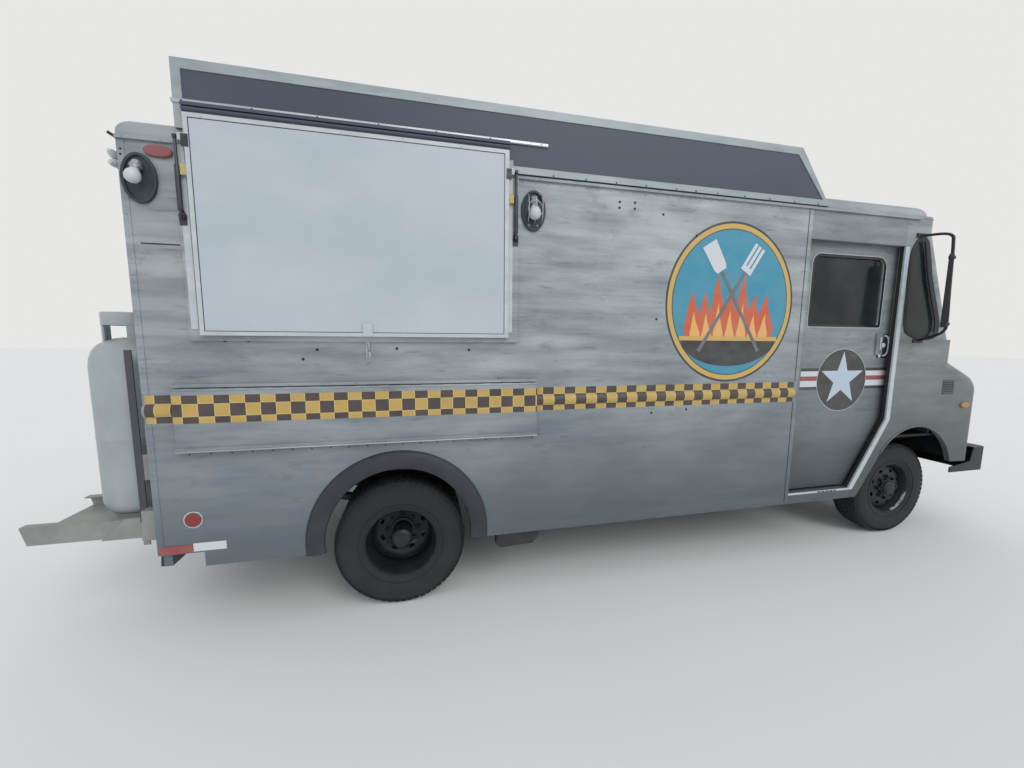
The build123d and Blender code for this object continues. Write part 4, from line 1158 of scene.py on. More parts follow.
def buildHatch(settings):
    panel, face, width = settings["panel"], settings["face"], settings["frameWidth"]
    wall, strutY = settings["wall"], settings["strutY"]
    lowEye, highEye = settings["eyes"]
    boltX, boltY = settings["bolt"]
    addPiece("hatchEdge", [frameShape(panel, inset(panel, width), face - 0.0025, face + 0.0005)], "hatchTrim",
             body="hatch", slot="steel", bevel=0.001)
    bead = frameShape(inset(panel, width), inset(panel, width + 0.0035), face - 0.0008, face + 0.0005)
    addPiece("hatchBead", [bead], "strutSteel", body="hatch", slot="rubber")
    along, levels = settings["rivets"]
    heads = [roundHead(x, face - 0.0025, z, 0.0045, 0.002) for x in along for z in levels]
    addPiece("hatchRivets", heads, "hatchTrim", body="hatch", slot="steel")
    rails = [boxShape((a, -1.2005, 1.658), (b, -1.1975, 2.520)) for a, b in settings["rails"]]
    addPiece("hatchRails", rails, "hatchTrim", slot="white_paint", bevel=0.0008)
    blocks = [boxShape((a, -1.222, 2.376), (b, wall, 2.424)) for a, b in settings["buffers"]]
    addPiece("hatchBuffers", blocks, "tanBlock", slot="rubber", bevel=0.003)
    # drop bolt: plate, guides, bolt with a turned-out handle
    guide = pinProfile(0.010, 0, 0.026)
    handle = [(boltX, -1.194, 1.552), (boltX, -1.210, 1.550), (-1.650, -1.218, 1.536), (-1.648, -1.220, 1.520)]
    bolt = [
        boxShape((-1.674, -1.183, 1.492), (-1.636, -1.180, 1.606)),
        *(spinShape(guide, (boltX, boltY, z), "z", 16) for z in (1.504, 1.568)),
        pipeShape([(boltX, boltY, 1.486), (boltX, boltY, 1.615)], 0.006, 12),
        pipeShape(smoothPath(handle, 5), 0.0045, 10),
    ]
    addPiece("dropBolt", bolt, "steelSheet", slot="steel", bevel=0.0008)
    # hinge cover, and the moulding with its screws
    cover = [(wall, 2.682), (-1.232, 2.682), (-1.232, 2.694), (-1.226, 2.700), (wall, 2.700)]
    addPiece("hingeCover", [prismShape(cover, -2.440, -0.880, "x")], "slateBoard", slot="slate",
             stands=("hatch_fittings",))
    moulding = [(wall, 2.699), (-1.208, 2.699), (-1.212, 2.703), (-1.212, 2.715), (-1.208, 2.719), (wall, 2.719)]
    addPiece("moulding", [prismShape(moulding, -2.484, -0.658, "x")], "trimMetal", slot="steel")
    addFasteners("mouldingScrews", [[(-2.44, -1.212, 2.709), (-0.70, -1.212, 2.709)]], "blackCoat", 0.29, 0.004, 0.002,
                 slot="steel")
    middle = sum(settings["strutX"]) / 2
    tube = [(0, 2.196), (0.0065, 2.198), (0.0070, 2.212), (0.0105, 2.216), (0.0112, 2.222), (0.0112, 2.412),
            (0.0100, 2.420), (0.0072, 2.420), (0.0070, 2.23), (0, 2.23)]
    eye = [(0.0055, -0.006), (0.0115, -0.006), (0.0125, 0), (0.0115, 0.006), (0.0055, 0.006)]
    rod = [(0, 2.270), (0.0068, 2.270), (0.0068, 2.530), (0.0045, 2.536), (0, 2.538)]
    for name, x in zip(("rear", "front"), settings["strutX"]):
        towards = 1 if x < middle else -1
        sleeve = [spinShape(tube, (x, strutY, 0), "z", 24), spinShape(eye, (x, strutY, lowEye), "x", 24)]
        shaft = [spinShape(rod, (x, strutY, 0), "z", 20), spinShape(eye, (x, strutY, highEye), "x", 24)]
        for piece, body, shapes, slot in (("strutTube", "strut_tube_", sleeve, "black_steel"),
                                          ("strutRod", "strut_rod_", shaft, "steel")):
            addPiece(piece + name, shapes, "strutSteel", body=body + name, slot=slot, stands=(body + name,))
        foot = [(x - 0.016, 2.150), (x + 0.016, 2.150), (x + 0.018, 2.196), (x, 2.232), (x - 0.018, 2.196)]
        pin = spinShape(pinProfile(0.005, -0.010, 0.010), (x, strutY, lowEye), "x", 16)
        ear = prismShape([(-1.198, 2.172), (-1.222, 2.178), (-1.225, 2.200), (-1.212, 2.208), (-1.198, 2.212)],
                         x + 0.0085, x + 0.0125, "x")
        addPiece("strutFoot" + name, [prismShape(foot, -1.2015, -1.1975), ear, pin], "strutSteel", slot="black_steel",
                 bevel=0.0006)
        a, b = sorted((x + towards * 0.030, x + towards * 0.060))
        plate = [boxShape((a, face - 0.0055, 2.500), (b, face, 2.556))]
        plate += [roundHead((a + b) / 2, face - 0.0055, z) for z in (2.544, 2.514)]
        addPiece("strutPlate" + name, plate, "strutSteel", body="hatch", slot="black_steel", bevel=0.0008)


buildHatch(hatchSettings)
print("sign and hatch built")


# serving shelf: a bright lip, partly a painted highlight along the edge that catches the light, hinge knuckles and
# rivets on the wall under it
shelfSettings = {
    "ends": (-2.589, -0.702),
    "knuckles": 16,
    "knuckleStep": 0.1165,
    "hinge": (-1.206, 1.354),
}


def buildShelf(settings):
    x0, x1 = settings["ends"]
    hingeY, hingeZ = settings["hinge"]
    # the lip's bright metal is partly a painted highlight
    lip = [boxShape((x0, -1.2235, 1.0375), (x1, -1.2210, 1.0430))]
    addPiece("shelfLip", lip, "trimMetal", body="shelf", slot="steel")
    knuckle = spinShape(pinProfile(0.0095, -0.028, 0.028), (x0 + 0.07, hingeY, hingeZ), "x", 16)
    growRow("shelfKnuckles", [knuckle], "silverBand", settings["knuckles"], (settings["knuckleStep"], 0, 0),
            body="shelf", slot="steel")
    rail = [(x0 + 0.05, -1.214, 1.376), (x1 - 0.05, -1.214, 1.376)]
    addFasteners("shelfRailScrews", [rail], "silverBand", 0.155, 0.004, 0.002, slot="steel")
    under = [(-2.55, -1.180, 1.017), (-0.72, -1.180, 1.017)]
    addFasteners("shelfRivets", [under], "louvrePaint", 0.092, 0.0048, 0.0025, slot="steel")


buildShelf(shelfSettings)


# body side: corner strips, rivets, reflectors, tape, holes and what hangs under the skirt
sideSettings = {
    "face": -1.180,
    "holes": [(-0.187, 2.453), (-0.188, 2.419), (-0.084, 2.457), (-0.085, 2.421), (0.114, 2.402), (0.361, 2.291),
              (0.101, 1.755), (0.098, 1.142), (0.361, 1.157), (-2.351, 1.601), (-2.245, 1.602), (-1.921, 1.556),
              (-1.992, 1.506), (-1.511, 1.563), (-1.109, 1.556), (-2.714, 2.481), (-2.716, 2.457)],
    "reflector": (-2.558, 0.668),
    "notch": ((-2.760, -1.200, 0.390), (-2.520, -1.120, 0.485)),
    "frontBattens": ((1.335, 2.522), (0.420, 1.180)),  # from and to, over and under the band
    "rearBattens": ((1.335, 2.522), (0.487, 1.180)),
    "rivetRows": [((-0.80, 1.24), 2.508), ((-2.50, -2.06), 0.432), ((-0.98, 1.24), 0.432)],
    "leftRows": [((-2.68, 1.24), 2.508), ((-2.68, -2.06), 0.432), ((-0.98, 1.24), 0.432)],
    "edgeX": -2.715,
    "tapes": (("tapeRed", -2.722, -2.570, 0.488, "red"), ("tapeWhite", -2.568, -2.415, 0.494, "white")),
    "edgeRows": ((0.55, 1.16), (1.36, 2.40)),
}


def cutNode(name, low, high, finish, **settings):
    # a closed copy of one CAD node with a box taken out of it
    merged = bmesh.new()
    merged.from_mesh(nodes[name].data)
    bmesh.ops.transform(merged, matrix=nodes[name].matrix_world, verts=merged.verts)
    bmesh.ops.remove_doubles(merged, verts=merged.verts, dist=1e-5)
    mesh = bpy.data.meshes.new(name + "Closed")
    merged.to_mesh(mesh)
    merged.free()
    return place(name + "Cut", cutMesh(name, mesh, [boxShape(low, high)]), finish, stands=(name,), **settings)


def buildSide(settings):
    face = settings["face"]
    cutNode("side_wall_right", *settings["notch"], "silverBand", slot="body_aluminium")
    spans = settings["frontBattens"]
    battens = [boxShape((1.246, face - 0.003, low), (1.276, face, high)) for low, high in spans]
    battens += [boxShape((-2.7305, face - 0.0025, low), (-2.700, face, high)) for low, high in settings["rearBattens"]]
    addPair("cornerBattens", battens, "silver", slot="body_aluminium", bevel=0.001)
    # painted shade: a dark line beside each front batten
    shades = [boxShape((1.2425, face - 0.0008, low), (1.2462, face, high)) for low, high in spans]
    addPair("battenShades", shades, "paintedShadeDark", slot="black_steel")
    hands = (("Right", 1, settings["rivetRows"]), ("Left", -1, settings["leftRows"]))
    for name, side, rows in hands:
        lines = [[(a, side * face, z), (b, side * face, z)] for (a, b), z in rows]
        addFasteners("sideRivets" + name, lines, "silverBand", 0.076, 0.0045, 0.002, (0, -side, 0), slot="steel")
    for name, side, rows in hands:
        edges = [[(settings["edgeX"], side * (face - 0.0025), z) for z in row] for row in settings["edgeRows"]]
        addFasteners("edgeRivets" + name, edges, "silver", 0.1025, 0.0045, 0.002, (0, -side, 0), slot="steel")
    gutter = [(-2.70, -1.1945, 2.532), (2.24, -1.1945, 2.532)]
    addFasteners("gutterRivets", [gutter], "silver", 0.152, 0.004, 0.0015, slot="steel")
    # painted shade: black heads and a slit stand in for the dark insides of open holes
    holes = [roundHead(x, face, z, 0.008, 0.003, 14) for x, z in settings["holes"]]
    holes.append(boxShape((-2.671, face - 0.0012, 2.059), (-2.510, face, 2.065)))
    addPiece("boltHoles", holes, "sealRubber", slot="rubber")
    x, z = settings["reflector"]
    cup = [spinShape(pinProfile(0.046, 0, -0.004), (x, face, z), sides=36)]
    addPiece("reflectorCup", cup, "trimMetal", slot="steel", bevel=0.001)
    lens = [(0, -0.004), (0.038, -0.004), (0.038, -0.007), (0.030, -0.009), (0, -0.010)]
    addPiece("reflectorLens", [spinShape(lens, (x, face, z), sides=36)], "lensRed", slot="lens")
    for name, a, b, lift, finish in settings["tapes"]:
        tape = [(a, lift), (b, lift), (b, lift + 0.044), (a, lift + 0.044)]
        addPiece(name, [prismShape(tape, face - 0.0036, face)], finish, slot="lens")
    # a hook under the rear corner and a black guard ahead of the rear arch, both fixed behind the skin
    hook = [(-2.748, 0.405), (-2.718, 0.405), (-2.714, 0.430), (-2.726, 0.462), (-2.714, 0.520), (-2.748, 0.520),
            (-2.742, 0.462)]
    flap = [(-0.940, 0.318), (-0.905, 0.292), (-0.700, 0.300), (-0.655, 0.345), (-0.650, 0.500), (-0.930, 0.500)]
    addPiece("cornerHook", [prismShape(hook, -1.139, -1.122)], "blackCoat", slot="black_steel", bevel=0.003)
    addPiece("skirtGuard", [prismShape(flap, -1.139, -1.085)], "blackCoat", slot="black_steel", bevel=0.010)


buildSide(sideSettings)


# cab door: seal, latch, trims and the painted roundel
doorSettings = {
    "face": -1.120,
    "window": roundRect(1.380, 2.075, 1.728, 2.252, 0.070)[:12] + [(1.380, 1.748), (1.386, 1.732), (1.402, 1.728)]
    + [(2.055, 1.728), (2.069, 1.732), (2.075, 1.746)],
    "disc": (1.754, 1.327, 0.236),
    "star": (1.333, 0.211),
    "bars": (1.362, 2.188, 2.216),
    "flange": [(1.845, 0.480), (1.871, 0.480), (2.234, 1.072), (2.234, 2.320), (2.185, 2.320), (2.185, 1.090)],
    "rows": (1.420, 1.397, 1.359, 1.325, 1.280, 1.257),
}


def starOutline(cx, cz, radius, inner=0.382):
    outline = []
    for k in range(10):
        reach = radius if k % 2 == 0 else radius * inner
        angle = math.pi / 2 + math.pi * k / 5
        outline.append((cx + reach * math.cos(angle), cz + reach * math.sin(angle)))
    return outline


def rectOutline(x0, x1, z0, z1):
    return [(x0, z0), (x1, z0), (x1, z1), (x0, z1)]


def paintLayer(name, outlines, material, depth, face, spread=0.0, body="truck"):
    # flat painted shapes, each set a hair in front of the one before
    shapes = []
    for i, outline in enumerate(outlines):
        shapes.append(prismShape(outline, face - 0.0003 * (depth + spread * i), face + 0.0002))
    addPiece(name, shapes, material, body=body, slot="slate")


def buildDoor(settings):
    face, window = settings["face"], settings["window"]
    handle = [(2.126, face - 0.006, 1.668), (2.150, face - 0.011, 1.660), (2.166, face - 0.013, 1.630),
              (2.166, face - 0.013, 1.552), (2.152, face - 0.011, 1.522), (2.126, face - 0.006, 1.512)]
    escutcheon = [(0, -0.003), (0.019, -0.003), (0.019, -0.008), (0.012, -0.0125), (0, -0.0125)]
    keyhole = [(0, -0.003), (0.015, -0.003), (0.015, -0.007), (0.009, -0.011), (0, -0.011)]
    lever = [(2.090, 1.556), (2.106, 1.556), (2.110, 1.650), (2.100, 1.662), (2.088, 1.650)]
    latch = [
        pipeShape(smoothPath(handle, 5), 0.0066, 10),
        spinShape(escutcheon, (2.128, face, 1.592), sides=20),
        spinShape(keyhole, (2.098, face, 1.512), sides=18),
        prismShape(lever, face - 0.011, face - 0.003),
    ]
    plate = roundRect(2.074, 2.172, 1.494, 1.680, 0.012, 3)
    parts = (
        ("doorFlange", [prismShape(settings["flange"], face + 0.0004, face + 0.0080)], "silverDoor", "body_aluminium",
         0.002),
        ("doorSeal", [frameShape(window, inset(window, 0.020), face - 0.0015, face + 0.004)], "paneEdge", "rubber", 0),
        ("doorWindowTrim", [frameShape(inset(window, -0.0055), window, face - 0.0022, face + 0.001)], "hatchTrim",
         "steel", 0),
        ("doorLatchPlate", [prismShape(plate, face - 0.0035, face)], "strutSteel", "steel", 0.001),
        # the latch's pale paint is a painted highlight on chrome
        ("doorLatch", latch, "latchPaintedHighlight", "steel", 0.0015),
    )
    for body in ("door_right", "door_left"):
        for name, shapes, finish, slot, bevel in parts:
            if body == "door_left":
                shapes = [mirroredShape(shape) for shape in shapes]
            addPiece(name + body, shapes, finish, body=body, slot=slot, bevel=bevel)


def buildRoundel(settings):
    cx, cz, radius = settings["disc"]
    starZ, starRadius = settings["star"]
    rear, white, dark = settings["bars"]
    top, edgeTop, redTop, redLow, edgeLow, low = settings["rows"]
    face = settings["face"] - 0.0002

    def layer(name, outlines, finish, depth):
        paintLayer(name, outlines, finish, depth, face, body="door_right")

    layer("roundelEdge", [rectOutline(rear, dark, low, top)], "charcoal", 1)
    layer("roundelWhite", [rectOutline(rear, white, edgeLow, edgeTop)], "white", 2)
    layer("roundelRed", [rectOutline(rear, white, redLow, redTop)], "red", 3)
    layer("roundelRing", [ovalOutline(cx, cz, radius + 0.003, radius + 0.003, 64)], "white", 4)
    layer("roundelDisc", [ovalOutline(cx, cz, radius, radius, 64)], "charcoal", 5)
    layer("starEdge", [starOutline(cx, starZ, starRadius)], "white", 6)
    layer("starFace", [starOutline(cx, starZ, starRadius - 0.014)], "paleBlue", 7)


buildDoor(doorSettings)
buildRoundel(doorSettings)
print("shelf, side and doors built")


# painted badge on the side: flames, fork and turner on a teal disc
badgeSettings = {
    "centre": (0.66, 1.87),
    "radius": (0.50, 0.53),
    "flames": 7,
}


def flameOutline(cx, cz, height, width, lean):
    left = [(-0.5, 0.0), (-0.62, 0.28), (-0.42, 0.50), (-0.30, 0.72), (-0.05, 1.0)]
    right = [(0.08, 0.74), (0.30, 0.52), (0.56, 0.30), (0.5, 0.0)]
    return [(cx + a * width + lean * b * height, cz + b * height) for a, b in left + right]


def buildBadge(settings):
    cx, cz = settings["centre"]
    wide, tall = settings["radius"]

    def layer(name, outlines, finish, depth, spread=0.0):
        paintLayer(name, outlines, finish, depth, sideSettings["face"], spread)

    def ring(gap):
        return [ovalOutline(cx, cz, wide - gap, tall - gap, 80)]

    layer("badgeRim", ring(0), "charcoal", 1)
    layer("badgeRing", ring(0.014), "gold", 2)
    layer("badgeLine", ring(0.046), "charcoal", 3)
    layer("badgeField", ring(0.052), "teal", 4)
    count = settings["flames"]
    flames, embers = [], []
    for k in range(count):
        share = (k + 0.5) / count * 2 - 1
        height = 0.50 * (1 - 0.45 * share * share) * (0.82 if k % 2 else 1.0)
        foot = (cx + share * 0.31, cz - 0.25 - 0.04 * (1 - share * share))
        flames.append(flameOutline(*foot, height, 0.142, 0.10 * share))
        embers.append(flameOutline(*foot, height * 0.60, 0.066, 0.10 * share))
    layer("badgeFlames", flames[::2], "flame", 5)
    layer("badgeFlamesFront", flames[1::2], "flame", 6)
    layer("badgeEmbers", embers, "ember", 7)
    halfTurn = [math.pi + math.pi * k / 24 for k in range(25)]
    bowl = [(cx + 0.375 * math.cos(a), cz - 0.232 + 0.190 * math.sin(a)) for a in halfTurn]
    layer("badgeBowl", [bowl], "charcoal", 8)
    layer("badgeBowlBand", [rectOutline(cx - 0.388, cx + 0.388, cz - 0.250, cz - 0.222)], "gold", 9)
    handles, heads = [], []
    for side in (-1, 1):
        turn = Matrix.Rotation(side * math.radians(32), 2)
        handle = [(-0.0125, -0.45), (0.0125, -0.45), (0.010, 0.175), (-0.010, 0.175)]
        if side < 0:
            head = [(-0.045, 0.175), (0.045, 0.175), (0.045, 0.375), (0.0225, 0.375), (0.0225, 0.212), (0.0112, 0.212),
                    (0.0112, 0.375), (-0.0112, 0.375), (-0.0112, 0.212), (-0.0225, 0.212), (-0.0225, 0.375),
                    (-0.045, 0.375)]
        else:
            head = [(-0.050, 0.200), (-0.037, 0.175), (0.037, 0.175), (0.050, 0.200), (0.057, 0.375), (-0.057, 0.375)]
        for outline, group in ((handle, handles), (head, heads)):
            group.append([(cx + (turn @ Vector(p)).x, cz + 0.06 + (turn @ Vector(p)).y) for p in outline])
    layer("badgeHandles", handles, "grey", 10, 0.5)
    layer("badgeHeads", heads, "white", 11)


buildBadge(badgeSettings)
print("badge painted")


# nose: louvre, arch lip, quarter window seal and the strip that closes on the door
noseSettings = {
    "louvre": (2.727, 2.848, 1.199, 1.318),
    "face": -1.180,
    "slats": 7,
    "slatStep": 0.0145,
    "archCentre": (2.505, 0.516),
    "archRadius": 0.430,
}
quarterWindow = [
    (2.222, 1.748), (2.284, 1.666), (2.414, 1.636), (2.539, 1.653), (2.571, 1.716), (2.560, 1.809), (2.444, 2.095),
    (2.394, 2.271), (2.357, 2.386), (2.304, 2.398), (2.256, 2.380), (2.206, 2.261), (2.209, 1.937),
]


def buildNose(settings):
    face = settings["face"]
    x0, x1, z0, z1 = settings["louvre"]
    rim = roundRect(x0, x1, z0, z1, 0.012, 3)
    addPair("louvreFrame", [frameShape(rim, inset(rim, 0.010), face - 0.004, face + 0.001)], "louvrePaint",
            slot="body_aluminium", bevel=0.0012)
    # painted shade behind the slats, a dark sheet where the louvre is open
    addPair("louvreBack", [prismShape(inset(rim, 0.008), face - 0.0008, face + 0.001)], "paintedShadeDark", slot="black_steel")
    blade = [(face - 0.001, z0 + 0.012), (face - 0.006, z0 + 0.013), (face - 0.001, z0 + 0.022)]
    slat = prismShape(blade, x0 + 0.009, x1 - 0.009, "x")
    for name, shape in (("Right", slat), ("Left", mirroredShape(slat))):
        growRow("louvreSlats" + name, [shape], "louvrePaint", settings["slats"], (0, 0, settings["slatStep"]),
                slot="body_aluminium")
    cx, cz = settings["archCentre"]
    radius = settings["archRadius"]
    arc = [(cx + radius * math.cos(math.radians(a)), face - 0.001, cz + radius * math.sin(math.radians(a)))
           for a in range(148, 14, -4)]
    addPair("archLip", [pipeShape(arc, 0.006, 8)], "silverNose", slot="steel")
    seal = smoothPath([(x, 0, z) for x, z in quarterWindow], 4, closed=True)
    outline = [(p.x, p.z) for p in seal]
    rim = [(x + 0.022 * max(0, min(1, (x - 2.26) / 0.14)), z) for x, z in outline]
    addPair("quarterSeal", [frameShape(rim, inset(outline, 0.026), face - 0.006, face + 0.004)], "sealRubber",
            slot="rubber", bevel=0.003)
    # pale trim on the skin's edge and on the jamb round the door opening, partly a painted highlight where the edges
    # catch the light; its seal, and the slots of the sill
    edge = [(1.262, 0.470), (1.8905, 0.470), (2.197, 1.012), (2.197, 2.328), (2.1585, 2.328), (2.1585, 1.0205),
            (1.8555, 0.4855), (1.262, 0.4855)]
    rebate = [(1.855, 0.485), (2.158, 1.020), (2.158, 2.328), (2.1568, 2.328), (2.1568, 1.0206), (1.8538, 0.4860)]
    strips = [prismShape(edge, face - 0.0022, face + 0.0005), prismShape(rebate, face - 0.0018, face + 0.0105)]
    addPair("openingTrimAndHighlight", strips, "hatchTrim", slot="steel", bevel=0.0005)
    # the seal's black also stands in for the shade in the gap beside the door
    bead = [(1.855, 0.485), (2.158, 1.020), (2.158, 2.328), (2.1545, 2.328), (2.1545, 1.0212), (1.8517, 0.487)]
    addPair("openingSeal", [prismShape(bead, face + 0.011, face + 0.034)], "sealRubber", slot="rubber")
    # painted shade: dark boxes in the sill's slots
    starts = [0.038 * k for k in range(5)]
    slots = [boxShape((1.552 + a, face - 0.0030, 0.4715), (1.579 + a, face - 0.0020, 0.4805)) for a in starts]
    addPair("sillSlots", slots, "paintedShadeDark", slot="black_steel")
    # eaves that carry the roof's gutter round the front corners
    corner = [math.radians(k) for k in range(10, 91, 10)]
    eave = [(2.240, -1.184), (2.362, -1.184)]
    eave += [(2.362 + 0.122 * math.sin(a), -1.062 - 0.122 * math.cos(a)) for a in corner]
    eave += [(x, -y) for x, y in reversed(eave)]
    addPiece("eaves", [prismShape(eave, 2.520, 2.562, "z")], "silverBand", slot="body_aluminium", bevel=0.020)


screenSettings = {
    "foot": (2.790, 1.640),
    "lean": 0.3827,
    "pane": (0.030, 1.030, 1.705, 2.415),
    "wiperY": (0.48, 0.50),
}


def buildScreens(settings):
    # rubber round both windscreen panes, with a wiper at the foot of each
    (footX, footZ), lean = settings["foot"], settings["lean"]
    scale = math.hypot(1, lean)
    y0, y1, z0, z1 = settings["pane"]
    s0, s1 = ((z - footZ) * scale for z in (z0, z1))
    turn = Matrix(((0, -1 / scale, -lean / scale, footX), (1, 0, 0, 0), (0, -lean / scale, 1 / scale, footZ),
                   (0, 0, 0, 1)))
    outer = roundRect(y0 - 0.014, y1 + 0.014, s0 - 0.014, s1 + 0.014, 0.030)
    inner = roundRect(y0 + 0.014, y1 - 0.014, s0 + 0.014, s1 - 0.014, 0.050)
    addPair("screenSeals", [moved(frameShape(outer, inner, -0.006, 0.004), turn)], "sealRubber", slot="rubber",
            bevel=0.003)
    knob = [(0, 0.004), (0.016, 0.004), (0.016, -0.020), (0.010, -0.028), (0, -0.028)]
    for name, pivot in (("Right", -settings["wiperY"][0]), ("Left", settings["wiperY"][1])):
        arm = [(pivot, -0.024, 0.022), (pivot + 0.02, -0.030, 0.060), (pivot + 0.21, -0.020, 0.128)]
        parts = [
            spinShape(knob, (pivot, 0, 0.022), sides=20),
            pipeShape(arm, 0.0045, 8),
            prismShape([(pivot - 0.02, 0.118), (pivot + 0.44, 0.118), (pivot + 0.44, 0.124), (pivot + 0.24, 0.134),
                        (pivot + 0.18, 0.134), (pivot - 0.02, 0.124)], -0.019, -0.013),
            boxShape((pivot - 0.025, -0.016, 0.108), (pivot + 0.445, -0.007, 0.118)),
        ]
        addPiece("wiper" + name, [moved(part, turn) for part in parts], "blackCoat", slot="black_steel", bevel=0.0008)


buildNose(noseSettings)
buildScreens(screenSettings)


# lamps
lampSettings = {
    "headY": 0.830,
    "headZ": 0.960,
    "signalZ": 0.778,
    "tail": (-1.130, -1.040, 1.100, 1.240),
    "bulkheads": ((-2.648, 152, 1.02), (-0.733, 165, 1.15)),  # X, lean of the bulb in degrees, its size
    "bulkheadZ": 2.355,
}


def buildLamps(settings):
    y, z = settings["headY"], settings["headZ"]
    ring = [(0.080, 3.142), (0.096, 3.142), (0.0975, 3.150), (0.094, 3.160), (0.086, 3.164), (0.081, 3.158)]
    lens = [(0, 3.172), (0.030, 3.1705), (0.060, 3.165), (0.081, 3.156), (0.081, 3.150), (0, 3.150)]
    bowl = [(0, 3.124), (0.092, 3.124), (0.092, 3.146), (0.080, 3.148), (0, 3.140)]
    for name, profile, finish, slot, stands in (
        ("Rings", ring, "chrome", "steel", ()), ("Glass", lens, "lensClear", "lens", ()),
        ("Bowls", bowl, "steelSheet", "steel", ("lamps",)),
    ):
        addPair("headlamp" + name, [spinShape(profile, (0, -y, z), "x", 48)], finish, slot=slot, stands=stands)
    base = [(-2.563 + 0.058 * math.copysign(abs(math.cos(a)) ** 0.75, math.cos(a)), 2.482 + 0.027 * math.sin(a))
            for a in turnAngles(36)]
    addPair("markerRed", [prismShape(base, -1.196, -1.180)], "fadedRed", slot="lens", bevel=0.006)
    addPair("markerAmber", [prismShape(ovalOutline(2.996, 1.106, 0.048, 0.024, 28), -1.194, -1.178)], "lensAmber",
            slot="lens", bevel=0.006)
    tail = roundRect(*settings["tail"], 0.012)
    addPair("tailLenses", [prismShape(tail, -2.757, -2.736, "x")], "lensRed", slot="lens", bevel=0.003)
    addPair("tailBases", [frameShape(inset(tail, -0.004), inset(tail, 0.004), -2.742, -2.730, "x")], "trimMetal",
            slot="steel")
    signal = [(0, 3.170), (0.040, 3.170), (0.040, 3.182), (0.034, 3.190), (0, 3.193)]
    addPair("turnSignals", [spinShape(signal, (0, -y, settings["signalZ"]), "x", 32)], "lensAmber", slot="lens",
            bevel=0.001)
    # twin lamp on short stalks at the rear corner
    drop = [(0, 0), (0.007, 0.002), (0.016, 0.018), (0.020, 0.036), (0.017, 0.050), (0, 0.054)]
    heads, stalks = [], [boxShape((-2.7335, -1.112, 2.420), (-2.730, -1.062, 2.545))]
    for z0, rise in ((2.476, -14), (2.420, 14)):
        lean = Matrix.Translation((-2.776, -1.160, z0 + 0.005)) @ Matrix.Rotation(math.radians(rise - 90), 4, "X")
        heads.append(moved(spinShape(drop, (0, 0, 0), "z", 18, closed=False), lean))
        stalks.append(pipeShape([(-2.776, -1.115, z0 - 0.002), (-2.760, -1.095, 2.460), (-2.732, -1.085, 2.462)],
                                0.006, 8))
    stalks.append(pipeShape([(-2.778, -1.150, 2.562), (-2.752, -1.112, 2.545), (-2.732, -1.092, 2.530)], 0.007, 8))
    addPiece("rearLampHeads", heads, "bulbWhite", slot="lens")
    addPiece("rearLampStalks", stalks, "lampBase", slot="black_steel")
    zc = settings["bulkheadZ"]
    bulb = [(0, 0), (0.013, 0), (0.014, 0.028), (0.020, 0.040), (0.028, 0.056), (0.030, 0.072), (0.026, 0.088),
            (0.015, 0.098), (0, 0.101)]
    socket = [(0, -0.012), (0.019, -0.012), (0.021, 0.006), (0.0235, 0.008), (0.0235, 0.014), (0.019, 0.016),
              (0.018, 0.030), (0, 0.030)]
    for index, (x, lean, size) in enumerate(settings["bulkheads"]):
        oval = ovalOutline(x, zc, 0.072, 0.113, 40)
        rim = [frameShape(oval, inset(oval, 0.014), -1.196, -1.180), prismShape(inset(oval, 0.012), -1.186, -1.180)]
        addPiece("bulkheadBase%d" % index, rim, "lampBase", slot="rubber", bevel=0.003)
        tilt = Matrix.Rotation(math.radians(lean), 4, "X")
        turn = Matrix.Translation((x, -1.200, zc + 0.056)) @ tilt @ Matrix.Scale(size, 4)
        addPiece("bulkheadBulb%d" % index, [moved(spinShape(bulb, (0, 0, 0), "z", 28, closed=False), turn)],
                 "bulbWhite", slot="lens")
        addPiece("bulkheadSocket%d" % index, [moved(spinShape(socket, (0, 0, 0), "z", 24), turn)], "steelSheet",
                 slot="steel", bevel=0.001)
        if index:
            cage = [roundHead(x + side, -1.186, zc - 0.080, 0.007) for side in (-0.026, 0.026)]
            for k in (-1, 0, 1):
                bend = [(x + k * 0.034, -1.186, zc + 0.085), (x + k * 0.040, -1.228, zc + 0.070),
                        (x + k * 0.040, -1.243, zc), (x + k * 0.040, -1.230, zc - 0.060),
                        (x + k * 0.034, -1.186, zc - 0.074)]
                cage.append(pipeShape(smoothPath(bend, 6), 0.0028, 8))
            loop = [(x + 0.043 * math.cos(a), -1.236 + 0.004 * abs(math.cos(a)), zc + 0.045 * math.sin(a))
                    for a in turnAngles(24)]
            cage.append(pipeShape(loop, 0.0028, 8, closed=True))
            addPiece("bulkheadCage", cage, "steelSheet", slot="steel")


buildLamps(lampSettings)


# mirrors on bent tubes
mirrorSettings = {
    "head": (0.150, 0.026, 0.520),
    "centre": (2.352, -1.342, 1.990),
    "turn": (2, 29),  # degrees: tilt, swing
    "feet": ((2.298, 2.414), (2.385, 1.630)),
    "clamps": ((2.338, 2.225), (2.364, 1.752)),
}


